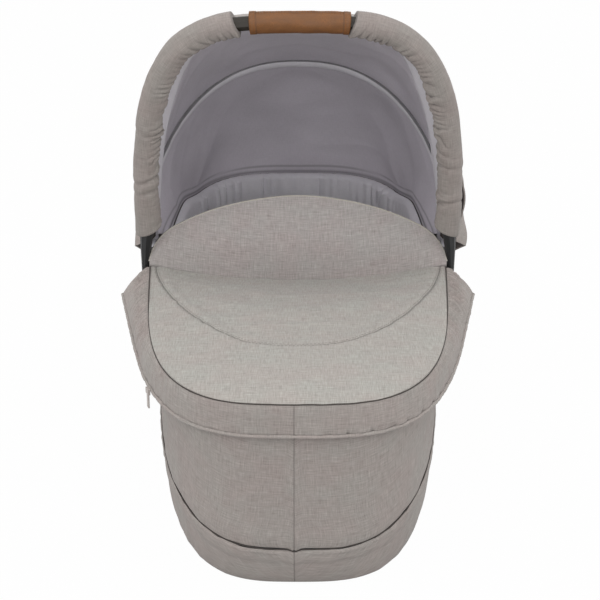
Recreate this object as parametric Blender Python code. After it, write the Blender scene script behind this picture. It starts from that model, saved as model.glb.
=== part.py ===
"""Carrycot: a fabric-covered moulded tub with a swinging hood bow, a rear rib,
a wind flap and an apron over the foot half. Metres, +Z up, foot end at -Y."""
import math

import bmesh
import bpy
from mathutils import Vector

# Clearances
seat_gap = 0.0003
cloth_gap = 0.0009
cut_overrun = 0.004

# Tub
tub_half_width = 0.1800
tub_half_length = 0.4015
widest_y = 0.030
rim_height = 0.2247
floor_height = 0.008
shell_wall = 0.0032
taper_share = 0.11
corner_power_x = 0.62
corner_power_y = 0.46
side_curve_width = 0.0240
side_curve_height = 0.1000
end_curve_width = 0.0100
end_curve_height = 0.0550
foot_draft = 0.0020
rim_tube_radius = 0.0055
rib_height = 0.0055
rib_width = 0.0030
rib_pitch = 0.080
slot_length = 0.040
slot_width = 0.0080

# Cloth on the tub
cover_thickness = 0.0020
cover_top = rim_height + 2.0 * rim_tube_radius + cover_thickness + cloth_gap
fold_under = 0.026
welt_radius = 0.0020
welt_low = 0.057

# Padding and bed
liner_thickness = 0.0065
liner_gather = 0.0016
liner_puff = 0.0030
liner_tuck = 2.0 * rim_tube_radius - shell_wall + seat_gap
board_thickness = 0.0030
board_margin = 0.0090
mattress_thickness = 0.034
mattress_crown = 0.007
mattress_margin = 0.0120
mattress_bulge = 0.0040

# Feet
pad_radius = 0.017
pad_edge = 0.0022
pad_from_side = 0.0950
pad_from_end = 0.1515
foot_pad_x = tub_half_width - pad_from_side
foot_pad_y = tub_half_length - pad_from_end

# Hubs
pivot_y = 0.045
pivot_drop = 0.0247
pivot_z = rim_height - pivot_drop
hub_radius = 0.030
hub_depth = 0.0125
hub_inner_x = tub_half_width + cloth_gap + cover_thickness + seat_gap
hub_outer_x = hub_inner_x + hub_depth
pin_radius = 0.0065
disc_radius = 0.0215
disc_depth = 0.0048
tooth_height = 0.0022
tooth_clearance = 0.0005
ring_wall = 0.0030
rib_plate_thickness = 0.0020
rib_plate_radius = 0.0165
rib_plate_end = 0.052
rib_plate_x = hub_outer_x + seat_gap

# Bow arms and their buttons
arm_thickness = 0.0100
arm_half_depth = 0.0150
arm_boss_radius = 0.0185
arm_reach = 0.104
socket_start = 0.084
arm_inner_x = rib_plate_x + rib_plate_thickness + seat_gap
arm_outer_x = arm_inner_x + arm_thickness
pocket_floor = 0.0030
button_radius = 0.0085
button_proud = 0.0016
button_travel = 0.0017
spring_radius = 0.0045
spring_wire = 0.0005

# Chassis adapters
adapter_width = 0.052
adapter_height = 0.058
adapter_depth = 0.0135
adapter_corner = 0.0045
socket_width = 0.030
socket_height = 0.038
socket_depth = 0.0085
socket_wall = 0.0020
cavity_width = 0.0120
cavity_depth = 0.0060
cavity_height = 0.0360
screw_radius = 0.0035
screw_spread = 0.020
latch_proud = 0.0045
latch_depth = 0.0100
latch_travel = 0.0040
latch_spring_radius = 0.0016
hook_nose = 0.0060
hook_thickness = 0.0032
hook_bite = 0.0024
welt_under_adapter = 0.0060
welt_high = pivot_z - hub_radius - adapter_height - welt_under_adapter

# Apron
apron_side_ease = 0.0165
apron_foot_ease = 0.0060
apron_over_cover = 0.0052
apron_half_width = tub_half_width + apron_side_ease
apron_foot_reach = tub_half_length + apron_foot_ease
apron_height = cover_top + apron_over_cover
apron_back_y = 0.014
apron_thickness = 0.0045
apron_crown = 0.0060
apron_sag = 0.0190
apron_middle_share = 0.466
sag_width_share = 0.800
sag_start_share = 0.368
seam_foot_share = 0.628
seam_corner_share = 0.957
apron_middle_y = -apron_middle_share * apron_foot_reach
sag_half_width = sag_width_share * tub_half_width
sag_start_y = -sag_start_share * apron_foot_reach
seam_foot_y = -seam_foot_share * apron_foot_reach
seam_corner_x = seam_corner_share * apron_half_width
seam_groove = 0.0008
seam_half_width = 0.0035

# Side band of the apron, its hem and zip slider
skirt_drop = 0.0365
skirt_flare = 0.0370
skirt_foot_flare = 0.0026
skirt_thickness = 0.0024
skirt_lean_share = 0.55
skirt_pucker = 0.0016
hem_radius = 0.0022
slider_thickness = 0.0030
slider_length = 0.0110
slider_height = 0.0070
pull_length = 0.0180

# Bow
bow_angle = 102.4
bow_reach = 0.3985
bow_side_ease = 0.0160
bow_spread = 0.0075
bow_half_width = tub_half_width + bow_side_ease
bow_top_half_width = bow_half_width + bow_spread
bow_power = 0.535
bow_tube_radius = 0.0095
sleeve_radius = 0.0165
sleeve_ruche = 0.0013
sleeve_left_end = 0.0760
sleeve_right_end = 0.0705
grip_half_length = 0.0630
grip_radius = 0.0135
grip_centre = 0.0022
grip_cuff = 0.0008
grip_cuff_share = 0.12

# Rear rib
rib_angle = 45.0
rib_reach = 0.3560
rib_side_ease = 0.0180
rib_half_width = bow_half_width + rib_side_ease
rib_power = 0.88
rib_start = 0.060
rib_wire_radius = 0.0030

# Hood cloth
hood_cloth = 0.0022
hood_lining_cloth = 0.0014
hood_side_start = 0.060
panel_sag = 0.0110
bow_clear = 0.0004
hem_under_rim = 0.0077
hem_below = rim_height - hem_under_rim
hem_ease = 0.0034
lining_over_cover = 0.0034
lining_edge_height = cover_top + lining_over_cover

# Wind flap
flap_side_ease = 0.0045
flap_half_width = apron_half_width - flap_side_ease
flap_y = 0.0180
flap_over_apron = 0.0002
flap_corner_height = apron_height + flap_over_apron
flap_sag = 0.0230
flap_rise = 0.0850
flap_corner_rise = 0.0040
flap_thickness = 0.0032
flap_lean = 0.200
flap_bow = 0.012
flap_power = 0.50
flap_hem_radius = 0.0018

# Counts and curve shapes
ring_steps = 40
tube_sides = 8
round_sides = 24
pin_sides = 20
screw_sides = 16
fine_steps = 200
tube_steps = 17
low_levels = 4
high_levels = 3
level_bunching = 1.7
top_bunching = 0.8
welt_side_power = 2.0
gather_count = 22
teeth = 14
apron_rows = 19
apron_columns = 12
skirt_steps = 50
skirt_rows = 4
skirt_flare_power = 1.5
pucker_count = 17
slider_place = 14
sleeve_steps = 19
sleeve_sides = 10
ruche_pitch = 1.9
grip_steps = 10
panel_steps = 24
front_rows = 3
back_rows = 5
flap_columns = 20
flap_rows = 4

# Arm sections: reach, shift towards the tube, width and depth, all as shares of the arm's sizes
arm_section_shares = (
    (0.115, 0.0, 1.0, 1.0),
    (0.385, 0.0, 1.0, 0.97),
    (0.712, 0.4, 1.55, 0.94),
    (1.0, 1.0, 2.15, 0.84),
)


def clear_scene():
    """Empty the scene."""
    for thing in list(bpy.data.objects):
        bpy.data.objects.remove(thing, do_unlink=True)


def material(name, colour, roughness, metallic):
    """A Principled material with the piece's colour, roughness and metal."""
    made = bpy.data.materials.get(name) or bpy.data.materials.new(name)
    made.use_nodes = True
    surface = made.node_tree.nodes["Principled BSDF"]
    surface.inputs["Base Color"].default_value = (*colour, 1.0)
    surface.inputs["Roughness"].default_value = roughness
    surface.inputs["Metallic"].default_value = metallic
    return made


def materials():
    """Every surface of the carrycot, by the name of what it is made of."""
    return {
        "cloth": material("melange_cloth", (0.32, 0.29, 0.27), 0.92, 0.0),
        "cloth_top": material("melange_cloth_top", (0.38, 0.37, 0.34), 0.92, 0.0),
        "lining": material("smooth_lining", (0.30, 0.28, 0.31), 0.85, 0.0),
        "piping": material("dark_piping", (0.09, 0.085, 0.08), 0.80, 0.0),
        "mattress": material("white_jersey", (0.70, 0.70, 0.69), 0.90, 0.0),
        "board": material("grey_board", (0.25, 0.25, 0.25), 0.70, 0.0),
        "shell": material("moulded_polypropylene", (0.045, 0.045, 0.05), 0.55, 0.0),
        "black": material("black_plastic", (0.015, 0.015, 0.017), 0.42, 0.0),
        "button": material("grey_button", (0.10, 0.10, 0.105), 0.45, 0.0),
        "tube": material("dark_anodised_tube", (0.05, 0.043, 0.036), 0.35, 0.8),
        "steel": material("spring_steel", (0.55, 0.55, 0.56), 0.30, 1.0),
        "leather": material("brown_leather", (0.235, 0.115, 0.060), 0.55, 0.0),
        "rubber": material("soft_rubber", (0.03, 0.03, 0.03), 0.80, 0.0),
    }


def new_object(name, shape, surface, place=(0.0, 0.0, 0.0), turn=0.0, smooth=40.0):
    """A named object from a bmesh, its normals out and its edges sharp past an angle."""
    bmesh.ops.recalc_face_normals(shape, faces=shape.faces)
    mesh = bpy.data.meshes.new(name)
    shape.to_mesh(mesh)
    shape.free()
    mesh.shade_smooth()
    mesh.set_sharp_from_angle(angle=math.radians(smooth))
    thing = bpy.data.objects.new(name, mesh)
    bpy.context.collection.objects.link(thing)
    thing.data.materials.append(surface)
    thing.location = place
    thing.rotation_euler.x = turn
    return thing


def loft(rings, closed_rings=True, caps=True, loop=False):
    """Skin a run of rings of points. A loop joins the last ring to the first."""
    shape = bmesh.new()
    rows = [[shape.verts.new(point) for point in ring] for ring in rings]
    count = len(rows[0])
    pairs = list(zip(rows, rows[1:]))
    if loop:
        pairs.append((rows[-1], rows[0]))
    span = count if closed_rings else count - 1
    for low, high in pairs:
        for i in range(span):
            j = (i + 1) % count
            shape.faces.new((low[i], low[j], high[j], high[i]))
    if caps and not loop:
        shape.faces.new(rows[0][::-1])
        shape.faces.new(rows[-1])
    return shape


def cutter(name, shape, place=(0.0, 0.0, 0.0)):
    """A solid that only cuts or joins: drawn as wire and left out of renders."""
    bmesh.ops.recalc_face_normals(shape, faces=shape.faces)
    mesh = bpy.data.meshes.new(name)
    shape.to_mesh(mesh)
    shape.free()
    thing = bpy.data.objects.new(name, mesh)
    bpy.context.collection.objects.link(thing)
    thing.location = place
    thing.hide_render = True
    thing.display_type = "WIRE"
    return thing


def combine(target, tool, operation):
    """Boolean a cutter into a piece."""
    change = target.modifiers.new(tool.name, "BOOLEAN")
    change.object = tool
    change.operation = operation
    return change


def block(centre, size):
    """A box in a bmesh, from its centre and its three sizes."""
    shape = bmesh.new()
    bmesh.ops.create_cube(shape, size=1.0)
    bmesh.ops.scale(shape, vec=Vector(size), verts=shape.verts)
    bmesh.ops.translate(shape, vec=Vector(centre), verts=shape.verts)
    return shape


def merge(shapes):
    """Several bmeshes put into one."""
    whole = bmesh.new()
    for shape in shapes:
        mesh = bpy.data.meshes.new("part_of_cutter")
        shape.to_mesh(mesh)
        shape.free()
        whole.from_mesh(mesh)
        bpy.data.meshes.remove(mesh)
    return whole


def power(value, exponent):
    """A signed power, for rounded-square curves."""
    return math.copysign(abs(value) ** exponent, value)


def curve_in(depth, width):
    """How far a quarter-ellipse of this width has come in at a depth share of 0 to 1."""
    share = min(max(depth, 0.0), 1.0)
    return width * (1.0 - math.sqrt(1.0 - share * share))


def hull_point(turn, height, side=0.0, end=0.0):
    """A point on the tub's outer form at a turn round it and a height above ground.

    side and end push the form out in X and in Y."""
    up = height - floor_height
    side_in = curve_in(1.0 - up / side_curve_height, side_curve_width)
    end_in = curve_in(1.0 - up / end_curve_height, end_curve_width)
    draft = foot_draft * max(1.0 - up / (rim_height - floor_height), 0.0)
    along = power(math.sin(turn), corner_power_y)
    half = tub_half_length + math.copysign(widest_y, -along) - end_in - draft + end
    across = (tub_half_width - side_in + side) * (1.0 - taper_share * abs(along))
    return Vector((across * power(math.cos(turn), corner_power_x), widest_y + half * along, height))


def hull_ring(height, side=0.0, end=0.0, steps=ring_steps):
    """A level ring round the tub's form."""
    return [hull_point(turn, height, side, end) for turn in ring_turns(steps)]


def quarter_turns(count, first):
    """Turns over the quarter after first whose rim points lie evenly spaced."""
    fine = 400
    turns = [first + math.pi / 2.0 * (k / fine) ** 2 * (3.0 - 2.0 * k / fine) for k in range(fine + 1)]
    points = [hull_point(turn, rim_height) for turn in turns]
    lengths = [0.0]
    for before, after in zip(points, points[1:]):
        lengths.append(lengths[-1] + (after - before).length)
    spaced = []
    at = 0
    for k in range(count):
        target = lengths[-1] * k / count
        while lengths[at + 1] < target:
            at += 1
        share = (target - lengths[at]) / (lengths[at + 1] - lengths[at])
        spaced.append(turns[at] + (turns[at + 1] - turns[at]) * share)
    return spaced


def ring_turns(count):
    """Turns round the tub, evenly spaced on the rim and the same on both sides."""
    head = quarter_turns(count // 4, 0.0)
    foot_count = count // 4
    foot = [-turn for turn in quarter_turns(foot_count, 0.0)]
    right_head = head + [math.pi / 2.0]
    left_head = [math.pi - turn for turn in head[:0:-1]]
    left_foot = [math.pi - turn for turn in foot]
    right_foot = [2.0 * math.pi + turn for turn in foot[:0:-1]]
    return right_head + left_head + left_foot + [1.5 * math.pi] + right_foot


def welt_height(turn):
    """The low cord line: level across the foot and head, rising along the sides."""
    beside = abs(math.cos(turn)) ** welt_side_power
    return welt_low + (welt_high - welt_low) * beside


def level(turn, step):
    """Height of one of the form's levels: floor, up to the cord line, up to the rim."""
    line = welt_height(turn)
    if step <= low_levels:
        return floor_height + (line - floor_height) * (step / low_levels) ** level_bunching
    return line + (rim_height - line) * ((step - low_levels) / high_levels) ** top_bunching


def layer_point(turn, step, out):
    """A point of the form pushed out by a distance: sideways on the walls, down under the floor."""
    height = level(turn, step)
    share = (height - floor_height) / (rim_height - floor_height)
    point = hull_point(turn, height, out, out)
    point.z = height - out * (1.0 - share)
    return point


def layer_ring(step, out, turns=None):
    """A ring of one layer of the tub's wall."""
    return [layer_point(turn, step, out) for turn in turns or ring_turns(ring_steps)]


def sweep(points, radii, sides=tube_sides, squash=1.0, upright=Vector((0.0, 0.0, 1.0))):
    """A tube along points, with a radius at each point."""
    rings = []
    for i, point in enumerate(points):
        before = points[max(i - 1, 0)]
        after = points[min(i + 1, len(points) - 1)]
        forward = (after - before).normalized()
        side = forward.cross(upright).normalized()
        lift = side.cross(forward).normalized()
        ring = []
        for k in range(sides):
            angle = 2.0 * math.pi * k / sides
            reach = radii(i, angle) if callable(radii) else radii[i]
            ring.append(point + side * math.cos(angle) * reach * squash + lift * math.sin(angle) * reach)
        rings.append(ring)
    return loft(rings)


def closed_sweep(points, radius, sides, upright=Vector((0.0, 0.0, 1.0))):
    """A tube round a closed run of points."""
    rings = []
    count = len(points)
    for i, point in enumerate(points):
        forward = (points[(i + 1) % count] - points[i - 1]).normalized()
        side = forward.cross(upright).normalized()
        lift = side.cross(forward).normalized()
        angles = [2.0 * math.pi * k / sides for k in range(sides)]
        rings.append([point + (side * math.cos(a) + lift * math.sin(a)) * radius for a in angles])
    return loft(rings, loop=True)


def disc_x(x_low, x_high, radius, centre_y, centre_z, sides=round_sides, edge=0.0):
    """A round block whose axis lies along X, with an eased edge at both ends."""
    runs = [(x_low, radius - edge), (x_low + edge, radius), (x_high - edge, radius), (x_high, radius - edge)]
    if not edge:
        runs = [(x_low, radius), (x_high, radius)]
    rings = []
    for x, reach in runs:
        angles = [2.0 * math.pi * k / sides for k in range(sides)]
        rings.append([Vector((x, centre_y + reach * math.cos(a), centre_z + reach * math.sin(a))) for a in angles])
    return loft(rings)


def mirrored(shape):
    """The same bmesh on the other side of the middle plane."""
    bmesh.ops.scale(shape, vec=Vector((-1.0, 1.0, 1.0)), verts=shape.verts)
    bmesh.ops.reverse_faces(shape, faces=shape.faces)
    return shape


def floor_half_width(y):
    """Half the width of the tub's flat floor at a distance from its middle, the smaller of the two ends."""
    reach = tub_half_length - widest_y - end_curve_width - foot_draft
    share = min(y / reach, 1.0)
    across = (tub_half_width - side_curve_width) * (1.0 - taper_share * share)
    return across * (1.0 - share ** (2.0 / corner_power_y)) ** (corner_power_x / 2.0)


def build_shell(looks):
    """Moulded tub: even wall, flat lip, a grid of floor ribs and vent slots."""
    top = low_levels + high_levels
    rings = [layer_ring(step, 0.0) for step in range(top + 1)]
    rings += [layer_ring(step, -shell_wall) for step in range(top, -1, -1)]
    shell = new_object("tub_shell", loft(rings), looks["shell"])
    inner_floor = floor_height + shell_wall

    reach_x = tub_half_width - side_curve_width - shell_wall
    reach_y = tub_half_length - 2.0 * end_curve_height
    rib_inset = 2.0 * shell_wall
    base = inner_floor - shell_wall / 2.0
    lift = rib_height + shell_wall / 2.0
    bars = []
    rows = int(reach_y / rib_pitch)
    for i in range(-rows, rows + 1):
        half = floor_half_width(abs(i * rib_pitch) + rib_width) - rib_inset
        bars.append(block((0.0, i * rib_pitch, base + lift / 2.0), (2.0 * half, rib_width, lift)))
    cross = cutter("floor_ribs_across", merge(bars))
    combine(shell, cross, "UNION")
    bars = []
    long_side = 2.0 * rows * rib_pitch
    for side in (-1, 0, 1):
        x = side * reach_x / 2.0
        bars.append(block((x, 0.0, base + lift / 2.0), (rib_width, long_side, lift)))
    along = cutter("floor_ribs_along", merge(bars))
    combine(shell, along, "UNION")

    slots = []
    for i in range(-rows, rows):
        for side in (-1, 1):
            centre = (side * reach_x / 3.0, (i + 0.5) * rib_pitch, floor_height + shell_wall / 2.0)
            slots.append(block(centre, (slot_length, slot_width, shell_wall + 2.0 * cut_overrun)))
    combine(shell, cutter("vent_slots", merge(slots)), "DIFFERENCE")
    return inner_floor


def raised(ring, height):
    """A copy of a ring, moved to one height."""
    return [Vector((point.x, point.y, height)) for point in ring]


def build_cover(looks):
    """Outer cloth: the wall from the low cord line to the rim, and the piece below it."""
    inner = cloth_gap
    outer = cloth_gap + cover_thickness
    top = low_levels + high_levels
    steps = range(low_levels, top + 1)
    wall_out = [layer_ring(step, outer) for step in steps]
    wall_in = [layer_ring(step, inner) for step in steps]
    hem_reach = -2.0 * rim_tube_radius + cloth_gap / 2.0
    hem = hull_ring(rim_height, hem_reach, hem_reach)
    wall_out.append(raised(wall_out[-1], cover_top))
    wall_in.append(raised(wall_in[-1], cover_top - cover_thickness))
    fold = [raised(hem, cover_top), raised(hem, cover_top - cover_thickness)]
    new_object("body_cover", loft(wall_out + fold + wall_in[::-1], loop=True), looks["cloth"])

    steps = range(low_levels + 1)
    wall_out = [layer_ring(step, outer) for step in steps]
    wall_in = [layer_ring(step, inner) for step in steps]
    for ring in (wall_out[-1], wall_in[-1]):
        for point in ring:
            point.z -= seat_gap
    flat = []
    for ring in (wall_out[0], wall_in[0]):
        shrink_x = 1.0 - fold_under / (tub_half_width - side_curve_width)
        shrink_y = 1.0 - fold_under / tub_half_length
        flat.append([Vector((p.x * shrink_x, p.y * shrink_y, p.z)) for p in ring])
    new_object("base_cover", loft([flat[0]] + wall_out + wall_in[::-1] + [flat[1]], loop=True), looks["cloth"])

    reach = outer + welt_radius + seat_gap
    cord = layer_ring(low_levels, reach)
    new_object("body_welt", closed_sweep(cord, welt_radius, 5), looks["piping"], smooth=80.0)


def build_rim(looks):
    """Metal loop on the tub's lip, under the cover's hem."""
    loop = raised(hull_ring(rim_height, -rim_tube_radius, -rim_tube_radius), rim_height + seat_gap + rim_tube_radius)
    new_object("rim_tube", closed_sweep(loop, rim_tube_radius, 6), looks["tube"], smooth=80.0)


def build_feet(looks):
    """Four soft feet under the floor, flat where they stand."""
    for x_side, x_word in ((-1, "left"), (1, "right")):
        for y_side, y_word in ((-1, "foot"), (1, "head")):
            rings = []
            top = floor_height - seat_gap
            for z, reach in ((0.0, pad_radius - pad_edge), (pad_edge, pad_radius), (top, pad_radius)):
                angles = [2.0 * math.pi * k / round_sides for k in range(round_sides)]
                rings.append([Vector((reach * math.cos(a), reach * math.sin(a), z)) for a in angles])
            place = (x_side * foot_pad_x, y_side * foot_pad_y, 0.0)
            new_object(f"foot_pad_{y_word}_{x_word}", loft(rings), looks["rubber"], place)


def build_liner(looks):
    """Padded lining of the walls, gathered round the head end."""
    outer = -shell_wall - cloth_gap
    inner = outer - liner_thickness
    top = low_levels + high_levels
    turns = ring_turns(ring_steps)
    rings_out = []
    rings_in = []
    for step in range(low_levels, top + 1):
        share = (step - low_levels) / high_levels
        tuck = liner_tuck if step == top else 0.0
        rings_out.append(layer_ring(step, outer - tuck))
        row = []
        for turn in turns:
            head = max(math.sin(turn), 0.0)
            gather = liner_gather * head * math.sin(gather_count * turn) * share
            puff = liner_puff * math.sin(math.pi * share)
            row.append(layer_point(turn, step, inner - tuck - puff + gather))
        rings_in.append(row)
    rings_out.append(raised(rings_out[-1], cover_top))
    rings_in.append(raised(rings_in[-1], cover_top - cloth_gap))
    new_object("wall_liner", loft(rings_out + rings_in[::-1], loop=True), looks["lining"])


def floor_outline(z, side):
    """The tub's plan at one height, drawn in by side."""
    return hull_ring(z, -side, -side)


def build_bed(looks, inner_floor):
    """Stiff board on the floor ribs and the crowned mattress on it."""
    base = inner_floor + rib_height + seat_gap
    outline = floor_outline(base - shell_wall, shell_wall + board_margin)
    low = [Vector((p.x, p.y, base)) for p in outline]
    high = [Vector((p.x, p.y, base + board_thickness)) for p in outline]
    new_object("mattress_board", loft([low, high]), looks["board"])

    start = base + board_thickness + seat_gap
    rings = []
    for share in (0.0, 0.18, 0.5, 0.82, 1.0):
        z = start + mattress_thickness * share
        bulge = mattress_bulge * math.sin(math.pi * share)
        outline = floor_outline(start - shell_wall, shell_wall + mattress_margin - bulge)
        rings.append([Vector((p.x, p.y, z)) for p in outline])
    centre = Vector((0.0, widest_y, 0.0))
    for share in (0.82, 0.55, 0.25):
        z = start + mattress_thickness + mattress_crown * (1.0 - share * share)
        rings.append([Vector((p.x * share, centre.y + (p.y - centre.y) * share, z)) for p in rings[4]])
    new_object("mattress", loft(rings), looks["mattress"])
    return start + mattress_thickness + mattress_crown


def resample(points, count):
    """Points the same distance apart along a run of points."""
    lengths = [0.0]
    for before, after in zip(points, points[1:]):
        lengths.append(lengths[-1] + (after - before).length)
    spaced = []
    at = 0
    for k in range(count + 1):
        target = lengths[-1] * k / count
        while at < len(points) - 2 and lengths[at + 1] < target:
            at += 1
        step = lengths[at + 1] - lengths[at]
        share = (target - lengths[at]) / step if step else 0.0
        spaced.append(points[at].lerp(points[at + 1], share))
    return spaced


def sheet(top, bottom):
    """A closed sheet from rows of points on its two faces."""
    return loft([list(high) + list(low)[::-1] for high, low in zip(top, bottom)])


def apron_edge(count):
    """The apron's plan edge, from the left back corner round the foot to the right one."""
    reach = apron_foot_reach + widest_y
    start = math.asin(((widest_y - apron_back_y) / reach) ** (1.0 / corner_power_y))
    fine = 720
    points = []
    for k in range(fine + 1):
        turn = math.pi + start + (math.pi - 2.0 * start) * k / fine
        along = power(math.sin(turn), corner_power_y)
        across = apron_half_width * (1.0 - taper_share * abs(along))
        points.append(Vector((across * power(math.cos(turn), corner_power_x), widest_y + reach * along, 0.0)))
    return resample(points, count)


def edge_normals(points):
    """Outward directions, level, along an edge that runs left to right round the foot."""
    normals = []
    for i in range(len(points)):
        forward = points[min(i + 1, len(points) - 1)] - points[max(i - 1, 0)]
        normals.append(Vector((forward.y, -forward.x, 0.0)).normalized())
    return normals


def apron_surface(x, y):
    """Height of the apron's upper face: crowned, and sagging between the back corners."""
    share = min(abs(x) / sag_half_width, 1.0)
    back = min(max((y - sag_start_y) / (apron_back_y - sag_start_y), 0.0), 1.0)
    edge = min(abs(x) / apron_half_width, 1.0)
    middle = (1.0 - edge ** 4) * (1.0 - (abs(y - apron_middle_y) / (apron_foot_reach + apron_middle_y)) ** 4)
    sag = apron_sag * (1.0 - share * share) * back * back
    return apron_height + apron_crown * max(middle, 0.0) * (1.0 - back) - sag


def seam_y(x):
    """The U-shaped topstitched seam: where it lies at each x."""
    share = min(abs(x) / seam_corner_x, 1.0)
    return seam_foot_y + (apron_back_y - seam_foot_y) * (1.0 - (1.0 - share ** 2.3) ** 0.75)


def build_apron(looks):
    """Apron: crowned top with a U seam, cord round its edge, gathered side band and its hem."""
    edge = apron_edge(2 * apron_rows - 1)
    inset = welt_radius + seat_gap
    normals = edge_normals(edge)
    inner = [point - normal * inset for point, normal in zip(edge, normals)]
    top = []
    bottom = []
    for i in range(apron_rows):
        left = inner[i]
        right = inner[-1 - i]
        row = []
        for k in range(apron_columns + 1):
            share = -math.cos(math.pi * k / apron_columns)
            point = (left + right) / 2.0 + (right - left) / 2.0 * share
            near_seam = abs(point.y - seam_y(point.x)) / seam_half_width
            groove = seam_groove * max(1.0 - near_seam, 0.0)
            point.z = apron_surface(point.x, point.y) - groove
            row.append(point)
        top.append(row)
        bottom.append([Vector((p.x, p.y, apron_surface(p.x, p.y) - apron_thickness)) for p in row])
    new_object("apron_top", sheet(top, bottom), looks["cloth_top"], smooth=50.0)

    cord = [Vector((p.x, p.y, apron_height)) for p in edge]
    new_object("apron_welt", sweep(cord, [welt_radius] * len(cord), 5), looks["piping"], smooth=80.0)

    run = apron_edge(skirt_steps)
    out = edge_normals(run)
    start = apron_height - welt_radius - seat_gap
    rings = []
    hem = []
    for i, (point, normal) in enumerate(zip(run, out)):
        back = 1.0 - min(max((apron_back_y - point.y) / (apron_foot_reach + apron_back_y), 0.0), 1.0)
        flare = skirt_foot_flare + (skirt_flare - skirt_foot_flare) * back ** skirt_flare_power
        outer = []
        inner_run = []
        for k in range(skirt_rows + 1):
            drop = k / skirt_rows
            reach = flare * math.sqrt(1.0 - (1.0 - drop) ** 2)
            ripple = math.sin(math.pi * drop) * math.sin(pucker_count * math.pi * i / skirt_steps)
            pucker = skirt_pucker * back * ripple
            at = point + normal * (reach + pucker + skirt_thickness / 2.0)
            at.z = start - skirt_drop * drop
            outer.append(at)
            lean = 1.0 - drop
            inside = at - normal * skirt_thickness * (1.0 - skirt_lean_share * lean)
            inside.z = at.z - skirt_thickness * skirt_lean_share * lean
            inner_run.append(inside)
        inner_run[0] = outer[0] - normal * skirt_thickness
        rings.append(outer + inner_run[::-1])
        low = point + normal * flare
        low.z = start - skirt_drop - seat_gap - hem_radius
        hem.append(low)
    new_object("apron_skirt", loft(rings), looks["cloth"], smooth=60.0)
    new_object("apron_hem", sweep(hem, [hem_radius] * len(hem), 5), looks["cloth_top"], smooth=80.0)
    return hem


def build_zip(looks, hem):
    """Zip slider at the side of the hem, with its pull hanging down."""
    at = hem[slider_place]
    outside = math.copysign(1.0, at.x)
    x = at.x + outside * (hem_radius + seat_gap + slider_thickness / 2.0)
    body = block((0.0, 0.0, 0.0), (slider_thickness, slider_length, slider_height))
    slider = new_object("zip_slider", body, looks["steel"], (x, at.y, at.z))
    slider.rotation_euler.z = math.atan2(hem[slider_place + 1].x - at.x, at.y - hem[slider_place + 1].y)
    pull = block((0.0, 0.0, -slider_height / 2.0 - pull_length / 2.0 + cut_overrun / 2.0),
                 (slider_thickness / 2.0, slider_height, pull_length + cut_overrun))
    combine(slider, cutter("zip_pull", pull), "UNION")
    bpy.data.objects["zip_pull"].parent = slider
    return slider


def toothed_outline(root, crest, count):
    """A ring of points with straight-flanked teeth between two radii."""
    points = []
    for i in range(count):
        for share, reach in ((0.0, root), (0.28, root), (0.5, crest), (0.78, crest)):
            angle = 2.0 * math.pi * (i + share) / count
            points.append((reach * math.cos(angle), reach * math.sin(angle)))
    return points


def prism_x(outline, x_low, x_high):
    """An outline in Y and Z drawn out along X."""
    return loft([[Vector((x, y, z)) for y, z in outline] for x in (x_low, x_high)])


def placed(name, shape, surface, side, place=(0.0, 0.0, 0.0), turn=0.0, smooth=40.0):
    """A piece modelled for the right side, or its mirror image on the left."""
    if side < 0:
        mirrored(shape)
    return new_object(name, shape, surface, place, turn, smooth)


def placed_cutter(name, shape, side, place=(0.0, 0.0, 0.0), turn=0.0):
    """A cutter modelled for the right side, or its mirror image on the left."""
    if side < 0:
        mirrored(shape)
    tool = cutter(name, shape, place)
    tool.rotation_euler.x = turn
    return tool


def coil(radius, wire, turns, length, axis_start, steps=7):
    """A small compression spring along X, from a start point."""
    points = []
    total = turns * steps
    for k in range(total + 1):
        angle = 2.0 * math.pi * k / steps
        along = wire + (length - 2.0 * wire) * k / total
        points.append(axis_start + Vector((along, radius * math.cos(angle), radius * math.sin(angle))))
    return sweep(points, [wire] * len(points), 4, upright=Vector((1.0, 0.0, 0.0)))


def build_hub(looks, side, word):
    """Pivot housing on the tub's side, with the click ring in its recess and its screws."""
    pivot = (0.0, pivot_y, pivot_z)
    body = disc_x(hub_inner_x, hub_outer_x, hub_radius, 0.0, 0.0, edge=tooth_height / 2.0)
    hub = placed(f"hub_housing_{word}", body, looks["black"], side, pivot)
    ring_outer = disc_radius + tooth_clearance + tooth_height + ring_wall
    recess = disc_x(hub_outer_x - disc_depth - seat_gap, hub_outer_x + cut_overrun, ring_outer + seat_gap, 0.0, 0.0)
    combine(hub, placed_cutter(f"hub_recess_{word}", recess, side, pivot), "DIFFERENCE")

    inner = toothed_outline(disc_radius + tooth_clearance + tooth_height, disc_radius + tooth_clearance, teeth)
    low = hub_outer_x - disc_depth
    high = hub_outer_x - seat_gap
    ring = disc_x(low, high, ring_outer, 0.0, 0.0, sides=2 * teeth)
    click = placed(f"click_ring_{word}", ring, looks["steel"], side, pivot)
    bore = prism_x(inner, low - cut_overrun, high + cut_overrun)
    combine(click, placed_cutter(f"click_teeth_{word}", bore, side, pivot), "DIFFERENCE")


def screw_place():
    """The screw sits in the adapter's cheek, under the hub."""
    return (0.0, pivot_y + screw_spread, pivot_z - hub_radius - 2.0 * screw_radius)


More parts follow.
